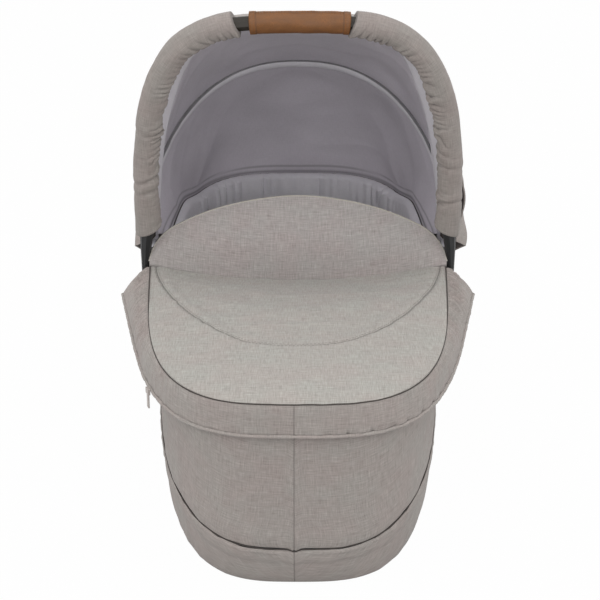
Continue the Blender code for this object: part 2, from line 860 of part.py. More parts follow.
def build_adapter(looks, side, word):
    """Chassis socket under the hub, with its latch cavity, and the latch in it."""
    top = pivot_z - hub_radius - seat_gap
    outer_x = hub_inner_x + adapter_depth
    middle_x = (hub_inner_x + outer_x) / 2.0
    centre = (middle_x, pivot_y, top - adapter_height / 2.0)
    shape = block(centre, (adapter_depth, adapter_width, adapter_height))
    edges = [edge for edge in shape.edges if abs(edge.verts[0].co.x - edge.verts[1].co.x) > seat_gap]
    bmesh.ops.bevel(shape, geom=edges, offset=adapter_corner, segments=4, profile=0.5, affect="EDGES")
    adapter = placed(f"chassis_adapter_{word}", shape, looks["black"], side)
    bottom = top - adapter_height
    socket_y = pivot_y - cavity_width / 2.0
    pocket = block((middle_x, socket_y, bottom + (socket_height - cut_overrun) / 2.0),
                   (socket_depth, socket_width, socket_height + cut_overrun))
    combine(adapter, placed_cutter(f"adapter_socket_{word}", pocket, side), "DIFFERENCE")
    cavity_y = socket_y + socket_width / 2.0 + socket_wall + cavity_width / 2.0
    cavity = block((middle_x, cavity_y, bottom + (cavity_height - cut_overrun) / 2.0),
                   (cavity_depth, cavity_width, cavity_height + cut_overrun))
    combine(adapter, placed_cutter(f"latch_cavity_{word}", cavity, side), "DIFFERENCE")
    window_z = bottom + cavity_height - hook_nose
    window = block((middle_x, cavity_y - cavity_width / 2.0 - socket_wall / 2.0, window_z),
                   (cavity_depth, socket_wall + 2.0 * cut_overrun / 2.0, 2.0 * hook_nose - 2.0 * socket_wall))
    combine(adapter, placed_cutter(f"latch_window_{word}", window, side), "DIFFERENCE")
    seat_radius = screw_radius + seat_gap
    seat = disc_x(outer_x - seat_radius, outer_x + cut_overrun, seat_radius, 0.0, 0.0, sides=screw_sides)
    combine(adapter, placed_cutter(f"screw_seat_{word}", seat, side, screw_place()), "DIFFERENCE")
    head = disc_x(outer_x - screw_radius, outer_x - seat_gap, screw_radius, 0.0, 0.0, sides=screw_sides)
    placed(f"adapter_screw_{word}", head, looks["steel"], side, screw_place())

    thick = cavity_depth - 2.0 * seat_gap
    near = cavity_y - cavity_width / 2.0
    button_low = bottom - latch_proud
    button_high = bottom + latch_depth
    button = block((middle_x, cavity_y, (button_low + button_high) / 2.0),
                   (thick, cavity_width - 2.0 * seat_gap, button_high - button_low))
    placed(f"latch_button_{word}", button, looks["button"], side)

    foot_y = near + seat_gap
    pivot = (0.0, foot_y + hook_thickness / 2.0, button_high + latch_travel + hook_thickness / 2.0 + seat_gap)
    nose_z = window_z - pivot[2]
    half = hook_thickness / 2.0
    tip = -half - socket_wall - hook_bite
    lever = [(-half, -half), (half, -half), (half, nose_z + half), (-half, nose_z + half),
             (tip, nose_z + half / 2.0), (tip, nose_z - half / 2.0), (-half, nose_z - half)]
    hook = prism_x(lever, middle_x - thick / 2.0, middle_x + thick / 2.0)
    placed(f"latch_hook_{word}", hook, looks["steel"], side, pivot)

    spring_y = near + cavity_width - latch_spring_radius - 2.0 * spring_wire - seat_gap
    length = bottom + cavity_height - button_high - 2.0 * seat_gap
    start = Vector((0.0, 0.0, 0.0))
    spring = coil(latch_spring_radius, spring_wire, 3, length, start)
    turn = turn_up()
    bmesh.ops.transform(spring, matrix=turn, verts=spring.verts)
    place_x = side * middle_x
    new_object(f"latch_spring_{word}", spring, looks["steel"], (place_x, spring_y, button_high + seat_gap))
    return pivot


def turn_up():
    """Turns what runs along X to run along Z."""
    return Vector((1.0, 0.0, 0.0)).rotation_difference(Vector((0.0, 0.0, 1.0))).to_matrix().to_4x4()


def bow_point(turn, back=0.0):
    """The bow's centre line in its own plane: X across, Y out from the pivot axis, Z its thickness."""
    up = power(math.sin(turn), bow_power)
    across = (bow_half_width - (bow_half_width - bow_top_half_width) * up) * power(math.cos(turn), bow_power)
    return Vector((across, bow_reach * up, back))


def tube_run():
    """The bow tube's points, from the left arm over the top to the right arm."""
    right = bow_run(socket_start, 0.0, 1, tube_steps)
    left = [Vector((-point.x, point.y, 0.0)) for point in right]
    return left[:-1] + [Vector((0.0, bow_reach, 0.0))] + right[:-1][::-1]


def bow_run(start_reach=None, stop_x=None, side=1, steps=40):
    """Points of one half of the bow, from the arm up and in to a cut."""
    fine = 600
    points = []
    for k in range(fine + 1):
        point = bow_point(math.pi / 2.0 * k / fine)
        if point.y >= start_reach and point.x >= stop_x:
            points.append(Vector((side * point.x, point.y, 0.0)))
    return resample(points, steps)


def build_arm(looks, side, word):
    """Moulded arm from hub to bow tube: boss, tapering lever, tube socket and button pocket."""
    pivot = (0.0, pivot_y, pivot_z)
    turn = math.radians(bow_angle)
    middle = (arm_inner_x + arm_outer_x) / 2.0
    socket_x = bow_point(math.asin((arm_reach / bow_reach) ** (1.0 / bow_power))).x
    rings = []
    for share, shift, wide, deep in arm_section_shares:
        reach = arm_reach * share
        centre = middle + (socket_x - middle) * shift
        ring = []
        for k in range(round_sides // 2):
            angle = 4.0 * math.pi * k / round_sides
            x = centre + arm_thickness / 2.0 * wide * power(math.cos(angle), 0.5)
            ring.append(Vector((x, reach, arm_half_depth * deep * power(math.sin(angle), 0.6))))
        rings.append(ring)
    arm = placed(f"bow_arm_{word}", loft(rings), looks["black"], side, pivot, turn)
    boss = disc_x(arm_inner_x, arm_outer_x, arm_boss_radius, 0.0, 0.0, edge=tooth_height / 2.0)
    combine(arm, placed_cutter(f"arm_boss_{word}", boss, side, pivot, turn), "UNION")
    pin = disc_x(hub_outer_x + seat_gap / 2.0, arm_inner_x + arm_thickness / 3.0, pin_radius, 0.0, 0.0, sides=pin_sides)
    combine(arm, placed_cutter(f"arm_pin_{word}", pin, side, pivot, turn), "UNION")
    pocket = disc_x(arm_inner_x + pocket_floor, arm_outer_x + cut_overrun, button_radius + seat_gap, 0.0, 0.0)
    combine(arm, placed_cutter(f"button_pocket_{word}", pocket, side, pivot, turn), "DIFFERENCE")
    run = [point for point in tube_run() if point.x > bow_top_half_width / 2.0][::-1]
    run[0] = run[0] - (run[1] - run[0]).normalized() * seat_gap
    bore = sweep(run, [bow_tube_radius + seat_gap] * len(run), tube_sides)
    combine(arm, placed_cutter(f"tube_socket_{word}", bore, side, pivot, turn), "DIFFERENCE")

    outline = toothed_outline(disc_radius - tooth_height, disc_radius, teeth)
    disc = prism_x(outline, hub_outer_x - disc_depth, hub_outer_x - seat_gap / 2.0)
    placed(f"toothed_disc_{word}", disc, looks["black"], side, pivot, turn)

    face = arm_outer_x + button_proud
    back = arm_outer_x - button_travel * 2.0
    button = disc_x(back, face, button_radius, 0.0, 0.0, edge=button_proud / 2.0)
    placed(f"hood_button_{word}", button, looks["button"], side, pivot, turn)
    floor = arm_inner_x + pocket_floor
    start = Vector((floor + seat_gap, 0.0, 0.0))
    spring = coil(spring_radius, spring_wire, 2, back - floor - 2.0 * seat_gap, start)
    placed(f"hood_spring_{word}", spring, looks["steel"], side, pivot, turn)


def build_bow(looks):
    """Bent tube, its padded sleeves with their gathers, and the grip."""
    pivot = (0.0, pivot_y, pivot_z)
    turn = math.radians(bow_angle)
    run = tube_run()
    tube = sweep(run, [bow_tube_radius] * len(run), tube_sides)
    new_object("bow_tube", tube, looks["tube"], pivot, turn, smooth=60.0)

    for side, word, stop in ((-1, "left", sleeve_left_end), (1, "right", sleeve_right_end)):
        path = bow_run(arm_reach + seat_gap, stop, side, sleeve_steps)

        def ruche(i, angle, count=len(path)):
            inside = max(math.cos(angle if side > 0 else math.pi - angle), 0.0)
            return sleeve_radius - sleeve_ruche * inside * (1.0 + math.sin(i * ruche_pitch)) / 2.0

        solid = sweep(path, ruche, sleeve_sides)
        sleeve = new_object(f"bow_sleeve_{word}", solid, looks["cloth"], pivot, turn, smooth=60.0)
        bore = sweep(run, [bow_tube_radius + seat_gap] * len(run), tube_sides)
        tool = cutter(f"sleeve_bore_{word}", bore, pivot)
        tool.rotation_euler.x = turn
        combine(sleeve, tool, "DIFFERENCE")

    middle = bow_run(socket_start, 0.0, 1, fine_steps)
    points = [Vector((-p.x, p.y, 0.0)) for p in middle][:-1] + [p for p in middle[::-1]]
    low = grip_centre - grip_half_length
    high = grip_centre + grip_half_length
    path = resample([p for p in points if low <= p.x <= high], grip_steps)
    cuff = grip_cuff_share
    radii = [grip_radius + grip_cuff] * (grip_steps + 1)
    for k in range(1, grip_steps):
        if cuff < k / grip_steps < 1.0 - cuff:
            radii[k] = grip_radius
    for k in (0, grip_steps):
        radii[k] = grip_radius
    grip = new_object("grip", sweep(path, radii, 14), looks["leather"], pivot, turn, smooth=60.0)
    bore = sweep(run, [bow_tube_radius + seat_gap] * len(run), tube_sides)
    tool = cutter("grip_bore", bore, pivot)
    tool.rotation_euler.x = turn
    combine(grip, tool, "DIFFERENCE")


def rib_point(turn, out=0.0):
    """The rear rib's centre line in its own plane, pushed out by out."""
    up = power(math.sin(turn), rib_power)
    reach = rib_start + (rib_reach - rib_start) * up
    across = (rib_half_width + out) * power(math.cos(turn), rib_power)
    return Vector((across, reach + out * up, 0.0))


def build_rib(looks):
    """Rear rib: a bent wire with a flat moulded end on each hub."""
    pivot = (0.0, pivot_y, pivot_z)
    turn = math.radians(rib_angle)
    plate_middle = rib_plate_x + rib_plate_thickness / 2.0
    half = [Vector((plate_middle, rib_plate_end, 0.0))]
    fine = 60
    for k in range(fine + 1):
        point = rib_point(math.pi / 2.0 * k / fine)
        if point.y > rib_start + 4.0 * rib_wire_radius:
            half.append(point)
    half = resample(half, 16)
    run = [Vector((-p.x, p.y, 0.0)) for p in half][:-1] + half[::-1]
    new_object("rib_wire", sweep(run, [rib_wire_radius] * len(run), 6), looks["steel"], pivot, turn, smooth=70.0)
    for side, word in ((-1, "left"), (1, "right")):
        hub = disc_x(rib_plate_x, rib_plate_x + rib_plate_thickness, rib_plate_radius, 0.0, 0.0, sides=24)
        plate = placed(f"rib_end_{word}", hub, looks["black"], side, pivot, turn)
        width = rib_plate_radius
        reach = rib_plate_end - 2.0 * seat_gap
        lever = block((plate_middle, reach / 2.0, 0.0), (rib_plate_thickness, reach, width))
        combine(plate, placed_cutter(f"rib_lever_{word}", lever, side, pivot, turn), "UNION")
        hole = disc_x(rib_plate_x - cut_overrun, rib_plate_x + 2.0 * cut_overrun, pin_radius + seat_gap,
                      0.0, 0.0, sides=pin_sides)
        combine(plate, placed_cutter(f"rib_bore_{word}", hole, side, pivot, turn), "DIFFERENCE")


def polar(point):
    """X, distance from the pivot axis and angle about it."""
    y = point.y - pivot_y
    z = point.z - pivot_z
    return point.x, math.hypot(y, z), math.atan2(z, y)


def from_polar(x, reach, angle):
    """The point at an X, a distance from the pivot axis and an angle about it."""
    return Vector((x, pivot_y + reach * math.cos(angle), pivot_z + reach * math.sin(angle)))


def in_plane(point, degrees):
    """A point of a plane that holds the pivot axis, at this angle, in world position."""
    angle = math.radians(degrees)
    y = point.y * math.cos(angle) - point.z * math.sin(angle)
    z = point.y * math.sin(angle) + point.z * math.cos(angle)
    return Vector((point.x, pivot_y + y, pivot_z + z))


def front_edge(turns, out):
    """Where the hood cloth meets the back of the bow's sleeves."""
    edge = []
    back = -(sleeve_radius + bow_clear)
    low = math.asin((hood_side_start / bow_reach) ** (1.0 / bow_power))
    for turn in turns:
        share = math.sin(turn)
        inner = low + (math.pi / 2.0 - low) * min(turn, math.pi - turn) * 2.0 / math.pi
        at = bow_point(inner)
        at.x = math.copysign(at.x + out * math.cos(inner), math.cos(turn))
        at.y += out * math.sin(inner)
        at.z = back
        edge.append(in_plane(at, bow_angle) if share >= 0.0 else at)
    return edge


def middle_edge(turns, out):
    """Where the hood cloth crosses the rib."""
    return [in_plane(rib_point(turn, out), rib_angle) for turn in turns]


def rear_edge(turns, out, height):
    """Where the hood cloth meets the tub's rim round the head end."""
    along = (pivot_y + hood_side_start - widest_y) / (tub_half_length - widest_y)
    start = math.asin(along ** (1.0 / corner_power_y))
    fine = 200
    half = [hull_point(start + (math.pi / 2.0 - start) * k / fine, rim_height, out, out) for k in range(fine + 1)]
    whole = half + [Vector((-point.x, point.y, point.z)) for point in half[-2::-1]]
    return raised(resample(whole, len(turns) - 1), height)


def panel_turns():
    """Turns along a hood arch, from one side to the other."""
    return [math.pi * (k + 0.5) / (panel_steps + 1) for k in range(panel_steps + 1)]


def span(first, last, rows, sag):
    """Rows of points from one edge to the other round the pivot axis, drawn in between."""
    made = []
    for i in range(rows + 1):
        share = i / rows
        row = []
        for a, b in zip(first, last):
            xa, ra, fa = polar(a)
            xb, rb, fb = polar(b)
            arch = math.sin(math.pi * share)
            x = xa + (xb - xa) * share
            reach = ra + (rb - ra) * share - sag * arch * min(ra, rb) / bow_reach
            x -= math.copysign(sag * arch * abs(x) / bow_half_width / 2.0, x)
            row.append(from_polar(x, reach, fa + (fb - fa) * share))
        made.append(row)
    return made


def build_hood(looks):
    """Hood cloth in two panels over the rib, and the lining under it."""
    turns = panel_turns()
    near = rib_wire_radius + cloth_gap + hem_ease / 2.0
    outer_rear = cover_thickness + 2.0 * cloth_gap + hem_ease
    half_seam = cloth_gap / 2.0

    def panel(name, first_in, first_out, last_in, last_out, rows, sag, look):
        top = span(first_out, last_out, rows, sag)
        under = span(first_in, last_in, rows, sag)
        new_object(name, sheet(top, under), look, smooth=60.0)

    far = near + hood_cloth
    mid_in = middle_edge(turns, near)
    mid_out = middle_edge(turns, far)

    def nudge(edge, angle):
        moved = []
        for point in edge:
            x, reach, at = polar(point)
            moved.append(from_polar(x, reach, at + angle / max(reach, rib_start)))
        return moved

    panel("hood_front", front_edge(turns, near), front_edge(turns, far), nudge(mid_in, half_seam),
          nudge(mid_out, half_seam), front_rows, panel_sag, looks["cloth"])
    panel("hood_back", nudge(mid_in, -half_seam), nudge(mid_out, -half_seam),
          rear_edge(turns, outer_rear, hem_below), rear_edge(turns, outer_rear + hood_cloth, hem_below),
          back_rows, -panel_sag, looks["cloth"])

    low = -near - hood_lining_cloth
    lining_out = middle_edge(turns, -near)
    lining_in = middle_edge(turns, low)
    panel("lining_front", front_edge(turns, low), front_edge(turns, -near), nudge(lining_in, half_seam),
          nudge(lining_out, half_seam), front_rows, panel_sag, looks["lining"])
    rim_in = -hood_lining_cloth
    panel("lining_back", nudge(lining_in, -half_seam), nudge(lining_out, -half_seam),
          rear_edge(turns, rim_in - hood_lining_cloth, lining_edge_height),
          rear_edge(turns, rim_in, lining_edge_height), back_rows, -panel_sag / 2.0, looks["lining"])


def flap_base(share):
    """Lower edge of the wind flap: from corner to corner, sagging in the middle."""
    x = flap_half_width * share
    drop = flap_sag * max(1.0 - (x / sag_half_width) ** 2, 0.0)
    return Vector((x, flap_y, flap_corner_height - drop))


def flap_height(share):
    """How far the flap's top edge stands above its base at each share of the width."""
    return flap_rise * max(1.0 - abs(share) ** 2.6, 0.0) ** flap_power + flap_corner_rise


def build_flap(looks):
    """Wind flap: a thin padded sheet that leans to the head, with its bound top edge."""
    axis = (0.0, flap_y, flap_corner_height)
    face = []
    back = []
    edge = []
    for j in range(flap_rows + 1):
        up = j / flap_rows
        row = []
        behind = []
        for k in range(flap_columns + 1):
            share = -math.cos(math.pi * (k + 0.25) / (flap_columns + 0.5))
            base = flap_base(share)
            rise = (flap_height(share) + flap_corner_height - base.z) * up
            curve = flap_bow * math.sin(math.pi * up) * (1.0 - share * share)
            at = Vector((base.x, rise * flap_lean - curve, base.z - flap_corner_height + rise))
            row.append(at)
            behind.append(at + Vector((0.0, flap_thickness, 0.0)))
        face.append(row)
        back.append(behind)
        if j == flap_rows:
            for k, at in enumerate(row):
                run = row[min(k + 1, flap_columns)] - row[max(k - 1, 0)]
                off = Vector((-run.z, 0.0, run.x)).normalized() * (flap_hem_radius + cloth_gap)
                edge.append(at + off + Vector((0.0, flap_thickness / 2.0, 0.0)))
    new_object("flap_panel", sheet(face, back), looks["cloth"], axis, smooth=60.0)
    new_object("flap_hem", sweep(edge, [flap_hem_radius] * len(edge), 5), looks["cloth_top"], axis, smooth=80.0)


def main():
    """Model every piece of the carrycot."""
    clear_scene()
    looks = materials()
    inner_floor = build_shell(looks)
    build_rim(looks)
    build_cover(looks)
    build_liner(looks)
    build_bed(looks, inner_floor)
    build_feet(looks)
    hem = build_apron(looks)
    build_zip(looks, hem)
    for side, word in ((-1, "left"), (1, "right")):
        build_hub(looks, side, word)
        build_adapter(looks, side, word)
        build_arm(looks, side, word)
    build_bow(looks)
    build_rib(looks)
    build_hood(looks)
    build_flap(looks)


main()
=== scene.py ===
import math

import bmesh
import bpy
import numpy as np
from bpy.props import FloatProperty, FloatVectorProperty, PointerProperty
from mathutils import Matrix, Vector


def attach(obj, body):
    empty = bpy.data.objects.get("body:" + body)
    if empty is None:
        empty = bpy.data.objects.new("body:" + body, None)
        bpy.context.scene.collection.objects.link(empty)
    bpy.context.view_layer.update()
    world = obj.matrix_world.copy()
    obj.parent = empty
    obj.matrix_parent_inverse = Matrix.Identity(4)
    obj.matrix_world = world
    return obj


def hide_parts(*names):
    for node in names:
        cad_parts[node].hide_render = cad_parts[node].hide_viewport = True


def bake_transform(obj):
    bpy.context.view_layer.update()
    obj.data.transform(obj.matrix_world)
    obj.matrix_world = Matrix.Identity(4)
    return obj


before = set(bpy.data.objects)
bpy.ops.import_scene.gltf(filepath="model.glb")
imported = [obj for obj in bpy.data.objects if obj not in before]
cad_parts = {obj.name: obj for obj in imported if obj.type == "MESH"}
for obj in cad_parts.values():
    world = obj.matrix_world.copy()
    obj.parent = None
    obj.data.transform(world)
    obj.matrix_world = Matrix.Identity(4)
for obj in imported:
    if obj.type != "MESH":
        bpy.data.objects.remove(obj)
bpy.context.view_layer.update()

bl_info = {
    "name": "Carrycot dress",
    "version": (1, 0, 0),
    "blender": (4, 5, 0),
    "location": "3D View > Sidebar > Carrycot",
    "description": "Sews the cloth, padding and trim of a carrycot over its moulded frame",
    "category": "Object",
}

# Forms of the tub, repeated from the part's source, in metres
TUB_HALF_WIDTH = 0.1800
TUB_HALF_LENGTH = 0.4015
WIDEST_Y = 0.030
RIM_HEIGHT = 0.2247
FLOOR_HEIGHT = 0.008
SHELL_WALL = 0.0032
TAPER = 0.11
CORNER_X = 0.62
CORNER_Y = 0.46
SIDE_CURVE = (0.0240, 0.1000)
END_CURVE = (0.0100, 0.0550)
FOOT_DRAFT = 0.0020
COVER_TOP = 0.2386
WELT_LOW = 0.057
WELT_HIGH = 0.106
CLOTH_GAP = 0.0009

# Apron and its side band
APRON_HALF_WIDTH = 0.1965
APRON_FOOT = 0.4075
APRON_BACK_Y = 0.014
APRON_HEIGHT = 0.2438
APRON_CROWN = 0.0060
APRON_SAG = 0.0190
APRON_MIDDLE_Y = -0.190
SAG_HALF_WIDTH = 0.1900
SAG_START_Y = -0.150
SEAM_FOOT_Y = -0.256
SEAM_CORNER_X = 0.1880
BAND_DROP = 0.0365
BAND_FLARE = 0.0370
BAND_FOOT_FLARE = 0.0026
BAND_FLARE_POWER = 1.5

# Hood, turning about the hubs
PIVOT_Y = 0.045
PIVOT_Z = 0.200
BOW_ANGLE = math.radians(102.4)
RIB_ANGLE = math.radians(45.0)
BOW_REACH = 0.3985
BOW_HALF_WIDTH = 0.1960
BOW_TOP_HALF_WIDTH = 0.2035
BOW_POWER = 0.535
TUBE_RADIUS = 0.0095
ARM_REACH = 0.104
HOOD_SIDE_START = 0.060
LINING_SIDE_START = 0.0360
RIB_START = 0.060
RIB_REACH = 0.3560
RIB_HALF_WIDTH = 0.2140
RIB_POWER = 0.88
HOOD_SAG = 0.0110
FRONT_SAG = 0.0330
SIDE_RISE = 0.0150
PADDING_LOW = 0.0440
HEM_BELOW = 0.2170
HEM_EASE = 0.0034
LINING_EDGE = 0.2420
LINING_THICK = 0.0012
NEAR_RIB = 0.0056
HOOD_MIDDLE = (0.0, 0.14, 0.26)

# Folds of the hood's cloth: direction, length, width, weight and whether both sides are alike
OUTER_PATTERN = ((0.35, 0.110, 0.050, 0.8, True), (1.25, 0.140, 0.055, 0.7, True), (0.0, 0.16, 0.09, 0.5, False))
LINING_PATTERN = ((0.85, 0.170, 0.085, 1.1, True), (0.45, 0.140, 0.070, 0.7, False), (-0.6, 0.150, 0.100, 0.8, False))

# Wind flap
FLAP_Y = 0.0180
FLAP_CORNER = 0.2440
FLAP_SAG = 0.0230
FLAP_RISE = 0.0850
FLAP_CORNER_RISE = 0.0040
FLAP_HALF_WIDTH = 0.1970
FLAP_LEAN = 0.200
FLAP_BOW = 0.012
FLAP_SHAPE = ((0.0, 0.12, 0.34, 0.56, 0.72, 0.865, 0.94, 0.975, 1.0),
              (1.0, 0.990, 0.920, 0.800, 0.660, 0.500, 0.330, 0.200, 0.0))

MM = 0.001
LINER_TUCK = 0.0081
SEAM_X = -0.0045
SEAM_SIDE = math.pi
GRIP_MIDDLE = 0.0022
GRIP_HALF = 0.0630
GRIP_SIDES = 72
STITCH_FROM_END = 0.0019
STITCH_FROM_FOLD = 0.0016
ARCH_COLUMNS = 201

# Ends of a line for each of the hood cloth's bends, from the still side to the side that turns with the bow or the rib;
# the hood pieces unpack them and do not use them
BOW_BEND = ((0.0, PIVOT_Y + 0.534 * 0.960, PIVOT_Z - 0.534 * 0.281),
            (0.0, PIVOT_Y - 0.192 * 0.960, PIVOT_Z + 0.192 * 0.281))
RIB_BEND = ((0.0, PIVOT_Y + 0.123 * 0.4226, PIVOT_Z - 0.123 * 0.9063),
            (0.0, PIVOT_Y - 0.122 * 0.4226, PIVOT_Z + 0.122 * 0.9063))

# Stage
AMBIENT = 1.0
WHITE = (1.0, 1.0, 1.0, 1.0)
CAMERA_RISE = 21.7
CAMERA_DISTANCE = 2.6
CAMERA_LENS = 118.5
SENSOR = 36.0
PICTURE = 600.0
PICTURE_MIDDLE = (298.0, 266.0)
LAMPS = (
    ("overhead", (0.10, -0.50, 2.3), (0.0, 0.0, 0.25), 1.8, 9.0),
    ("front", (-0.35, -2.9, 2.1), (0.0, 0.05, 0.3), 1.4, 3.0),
    ("fill", (0.0, -2.6, 1.30), (0.0, 0.35, 0.28), 1.2, 11.5),
    ("left", (-2.4, -0.9, 1.3), (0.0, 0.0, 0.25), 1.5, 17.0),
    ("right", (2.4, -0.9, 1.3), (0.0, 0.0, 0.25), 1.5, 14.0),
    ("back", (0.8, 2.1, 1.6), (0.0, 0.1, 0.3), 1.5, 2.0),
)


def hex_linear(text):
    """An sRGB hex colour as linear red, green and blue."""
    parts = [int(text[i:i + 2], 16) / 255.0 for i in (1, 3, 5)]
    return tuple(c / 12.92 if c <= 0.04045 else ((c + 0.055) / 1.055) ** 2.4 for c in parts)


def metres(name, default, description):
    """A length that the panel shows."""
    return FloatProperty(name=name, description=description, default=default, unit="LENGTH", precision=5, min=0.0)


def tint(name, default, description):
    """A colour that the panel shows."""
    return FloatVectorProperty(name=name, description=description, default=hex_linear(default),
                               subtype="COLOR", size=3, min=0.0, max=1.0)


class CarrycotSizes(bpy.types.PropertyGroup):
    """Sizes of the soft goods."""
    cloth: metres("Cloth", 0.0020, "Thickness of the outer cloth with its backing")
    piping: metres("Piping", 0.0008, "Radius of the sewn piping")
    binding: metres("Binding", 0.0023, "Radius of the bound edge of the flap and the side band")
    sleeve: metres("Sleeve", 0.0166, "Radius of the padded sleeves on the bow")
    gather: metres("Sleeve gathers", 0.0026, "Depth of the gathers along the sleeves' inner seam")
    gather_step: metres("Gather spacing", 0.0100, "Distance between two gathers of a sleeve")
    band_gather: metres("Band gathers", 0.0027, "Depth of the gathers at the shoulders of the side band")
    wrinkle: metres("Wrinkles", 0.0013, "Depth of the soft wrinkles of the apron and hood")
    seam: metres("Seam", 0.0013, "Depth that a seam draws the cloth in")
    stitch: metres("Stitch", 0.0040, "Length of one topstitch")
    liner: metres("Wall padding", 0.0095, "Thickness of the padded wall lining")
    grip: metres("Grip", 0.0136, "Radius of the leather grip")
    cuff: metres("Grip cuff", 0.0085, "Length of the folded cuff at each end of the grip")
    step: metres("Column step", 0.0042, "Distance between two columns of faces round the tub")


class CarrycotColours(bpy.types.PropertyGroup):
    """Colours of every finish."""
    # The four melange canvases are one cloth: the apron's copy is lighter as painted light on its upward face, the
    # sleeves' darker as painted shade, the flap's a little lighter as painted light.
    canvas_wall: tint("Wall canvas", "#928b87", "Melange canvas of the walls and the hood")
    canvas_sleeve_shaded: tint("Sleeve canvas", "#8a837f", "Melange canvas of the bow's sleeves")
    canvas_flap_lit: tint("Flap canvas", "#989290", "Melange canvas of the wind flap")
    canvas_top_lit: tint("Apron canvas", "#9a9691", "Melange canvas of the apron")
    piping: tint("Piping", "#45403d", "Dark piping and seam thread")
    # The binding's tone is set lighter than the flap canvas, a painted highlight along the flap's top edge.
    binding: tint("Binding", "#a5a098", "Bound edges")
    lining: tint("Hood lining", "#d2cdd4", "Fine woven lining under the hood")
    tape: tint("Lining tape", "#c4c1c7", "Lighter tape over the rib and round the lining")
    jersey: tint("Wall padding", "#e6e4e8", "Jersey of the padded wall lining")
    mattress: tint("Mattress", "#d8d6d4", "Mattress cover")
    leather: tint("Grip leather", "#75491f", "Tan leather of the grip")
    tube: tint("Bow tube", "#2b2620", "Dark anodised tube")
    black: tint("Black mouldings", "#1c1d1e", "Arms, hubs and adapters")
    grey: tint("Grey mouldings", "#4a4b4e", "Buttons and discs")
    steel: tint("Steel", "#b4b5b8", "Springs, rings, hooks and screws")
    shell: tint("Tub moulding", "#3a3b3e", "The tub under its cloth")
    board: tint("Board", "#a8a299", "Mattress board")
    rubber: tint("Feet", "#232324", "Rubber feet")


def sizes():
    """The sizes now set in the panel."""
    return bpy.context.scene.carrycot_sizes


def colours():
    """The colours now set in the panel."""
    return bpy.context.scene.carrycot_colours


def feed(tree, node, inputs):
    """Give each input of a node its value, or the socket that feeds it."""
    for name, value in inputs.items():
        if isinstance(value, bpy.types.NodeSocket):
            tree.links.new(value, node.inputs[name])
        else:
            node.inputs[name].default_value = value


def add_node(tree, kind, inputs=None, stops=(), **settings):
    """One shader node with its settings, what feeds its inputs and, for a ramp, its stops as (place, colour)."""
    node = tree.nodes.new(kind)
    for name, value in settings.items():
        setattr(node, name, value)
    feed(tree, node, inputs or {})
    if stops:
        band = node.color_ramp
        while len(band.elements) < len(stops):
            band.elements.new(0.5)
        for element, (place, colour) in zip(band.elements, stops):
            element.position = place
            element.color = (*colour, 1.0)
    return node


def blank(name):
    """A new material with a Principled shader, its tree and the shader."""
    made = bpy.data.materials.new(name)
    made.use_nodes = True
    return made, made.node_tree, made.node_tree.nodes["Principled BSDF"]


def times(colour, share):
    """A colour made lighter or darker."""
    return tuple(min(c * share, 1.0) for c in colour)


def grain(tree, place, scale, shift, detail, roughness):
    """Noise over a place: scale is the number of grains in a metre each way, shift moves them along."""
    moved = add_node(tree, "ShaderNodeMapping", {"Vector": place, "Scale": scale, "Location": shift})
    noise = add_node(tree, "ShaderNodeTexNoise", {"Vector": moved.outputs["Vector"], "Scale": 1.0,
                                                  "Detail": detail, "Roughness": roughness})
    return noise.outputs["Fac"]


def threads(tree, along, across, seed, detail=2.0):
    """Noise drawn out into thread-like streaks: along and across are streak sizes in metres on the cloth's own map."""
    place = add_node(tree, "ShaderNodeUVMap", uv_map="Cloth").outputs["UV"]
    return grain(tree, place, (1.0 / along, 1.0 / across, 1.0), (seed, seed * 0.37, 0.0), detail, 0.6)


def pebbles(tree, size, detail, seed, stretch=(1.0, 1.0, 1.0)):
    """Noise on the object's own coordinates, with its grain size in metres."""
    place = add_node(tree, "ShaderNodeTexCoord").outputs["Object"]
    return grain(tree, place, tuple(s / size for s in stretch), (seed, seed, seed), detail, 0.55)


def weighted(tree, parts):
    """The sum of several values, each times its share."""
    total = None
    for value, share in parts:
        part = add_node(tree, "ShaderNodeMath", {0: value, 1: share}, operation="MULTIPLY").outputs["Value"]
        if total is not None:
            part = add_node(tree, "ShaderNodeMath", {0: total, 1: part}, operation="ADD").outputs["Value"]
        total = part
    return total


def darken_seams_and_shade(tree, tone, colour, share):
    """A tone that goes to a dark share of the colour where the piece is marked: along its seams, and as painted shade
    in creases, folds and gaps.
    """
    line = add_node(tree, "ShaderNodeAttribute", attribute_name="Line").outputs["Fac"]
    dark = add_node(tree, "ShaderNodeMix", {"Factor": line, "A": tone, "B": (*times(colour, share), 1.0)},
                    data_type="RGBA")
    return dark.outputs["Result"]


def coat(tree, surface, tone, height, bump, value, rough, more=None):
    """Join a finish to its shader: its tone, its bump's (strength, depth), and a roughness that follows a value.

    rough holds the value's lowest and highest, then the roughness at each; more sets other inputs."""
    relief = add_node(tree, "ShaderNodeBump", {"Height": height, "Strength": bump[0], "Distance": bump[1]})
    limits = dict(zip(("From Min", "From Max", "To Min", "To Max"), rough))
    shine = add_node(tree, "ShaderNodeMapRange", {"Value": value, **limits})
    feed(tree, surface, {"Base Color": tone, "Normal": relief.outputs["Normal"],
                         "Roughness": shine.outputs["Result"], **(more or {})})


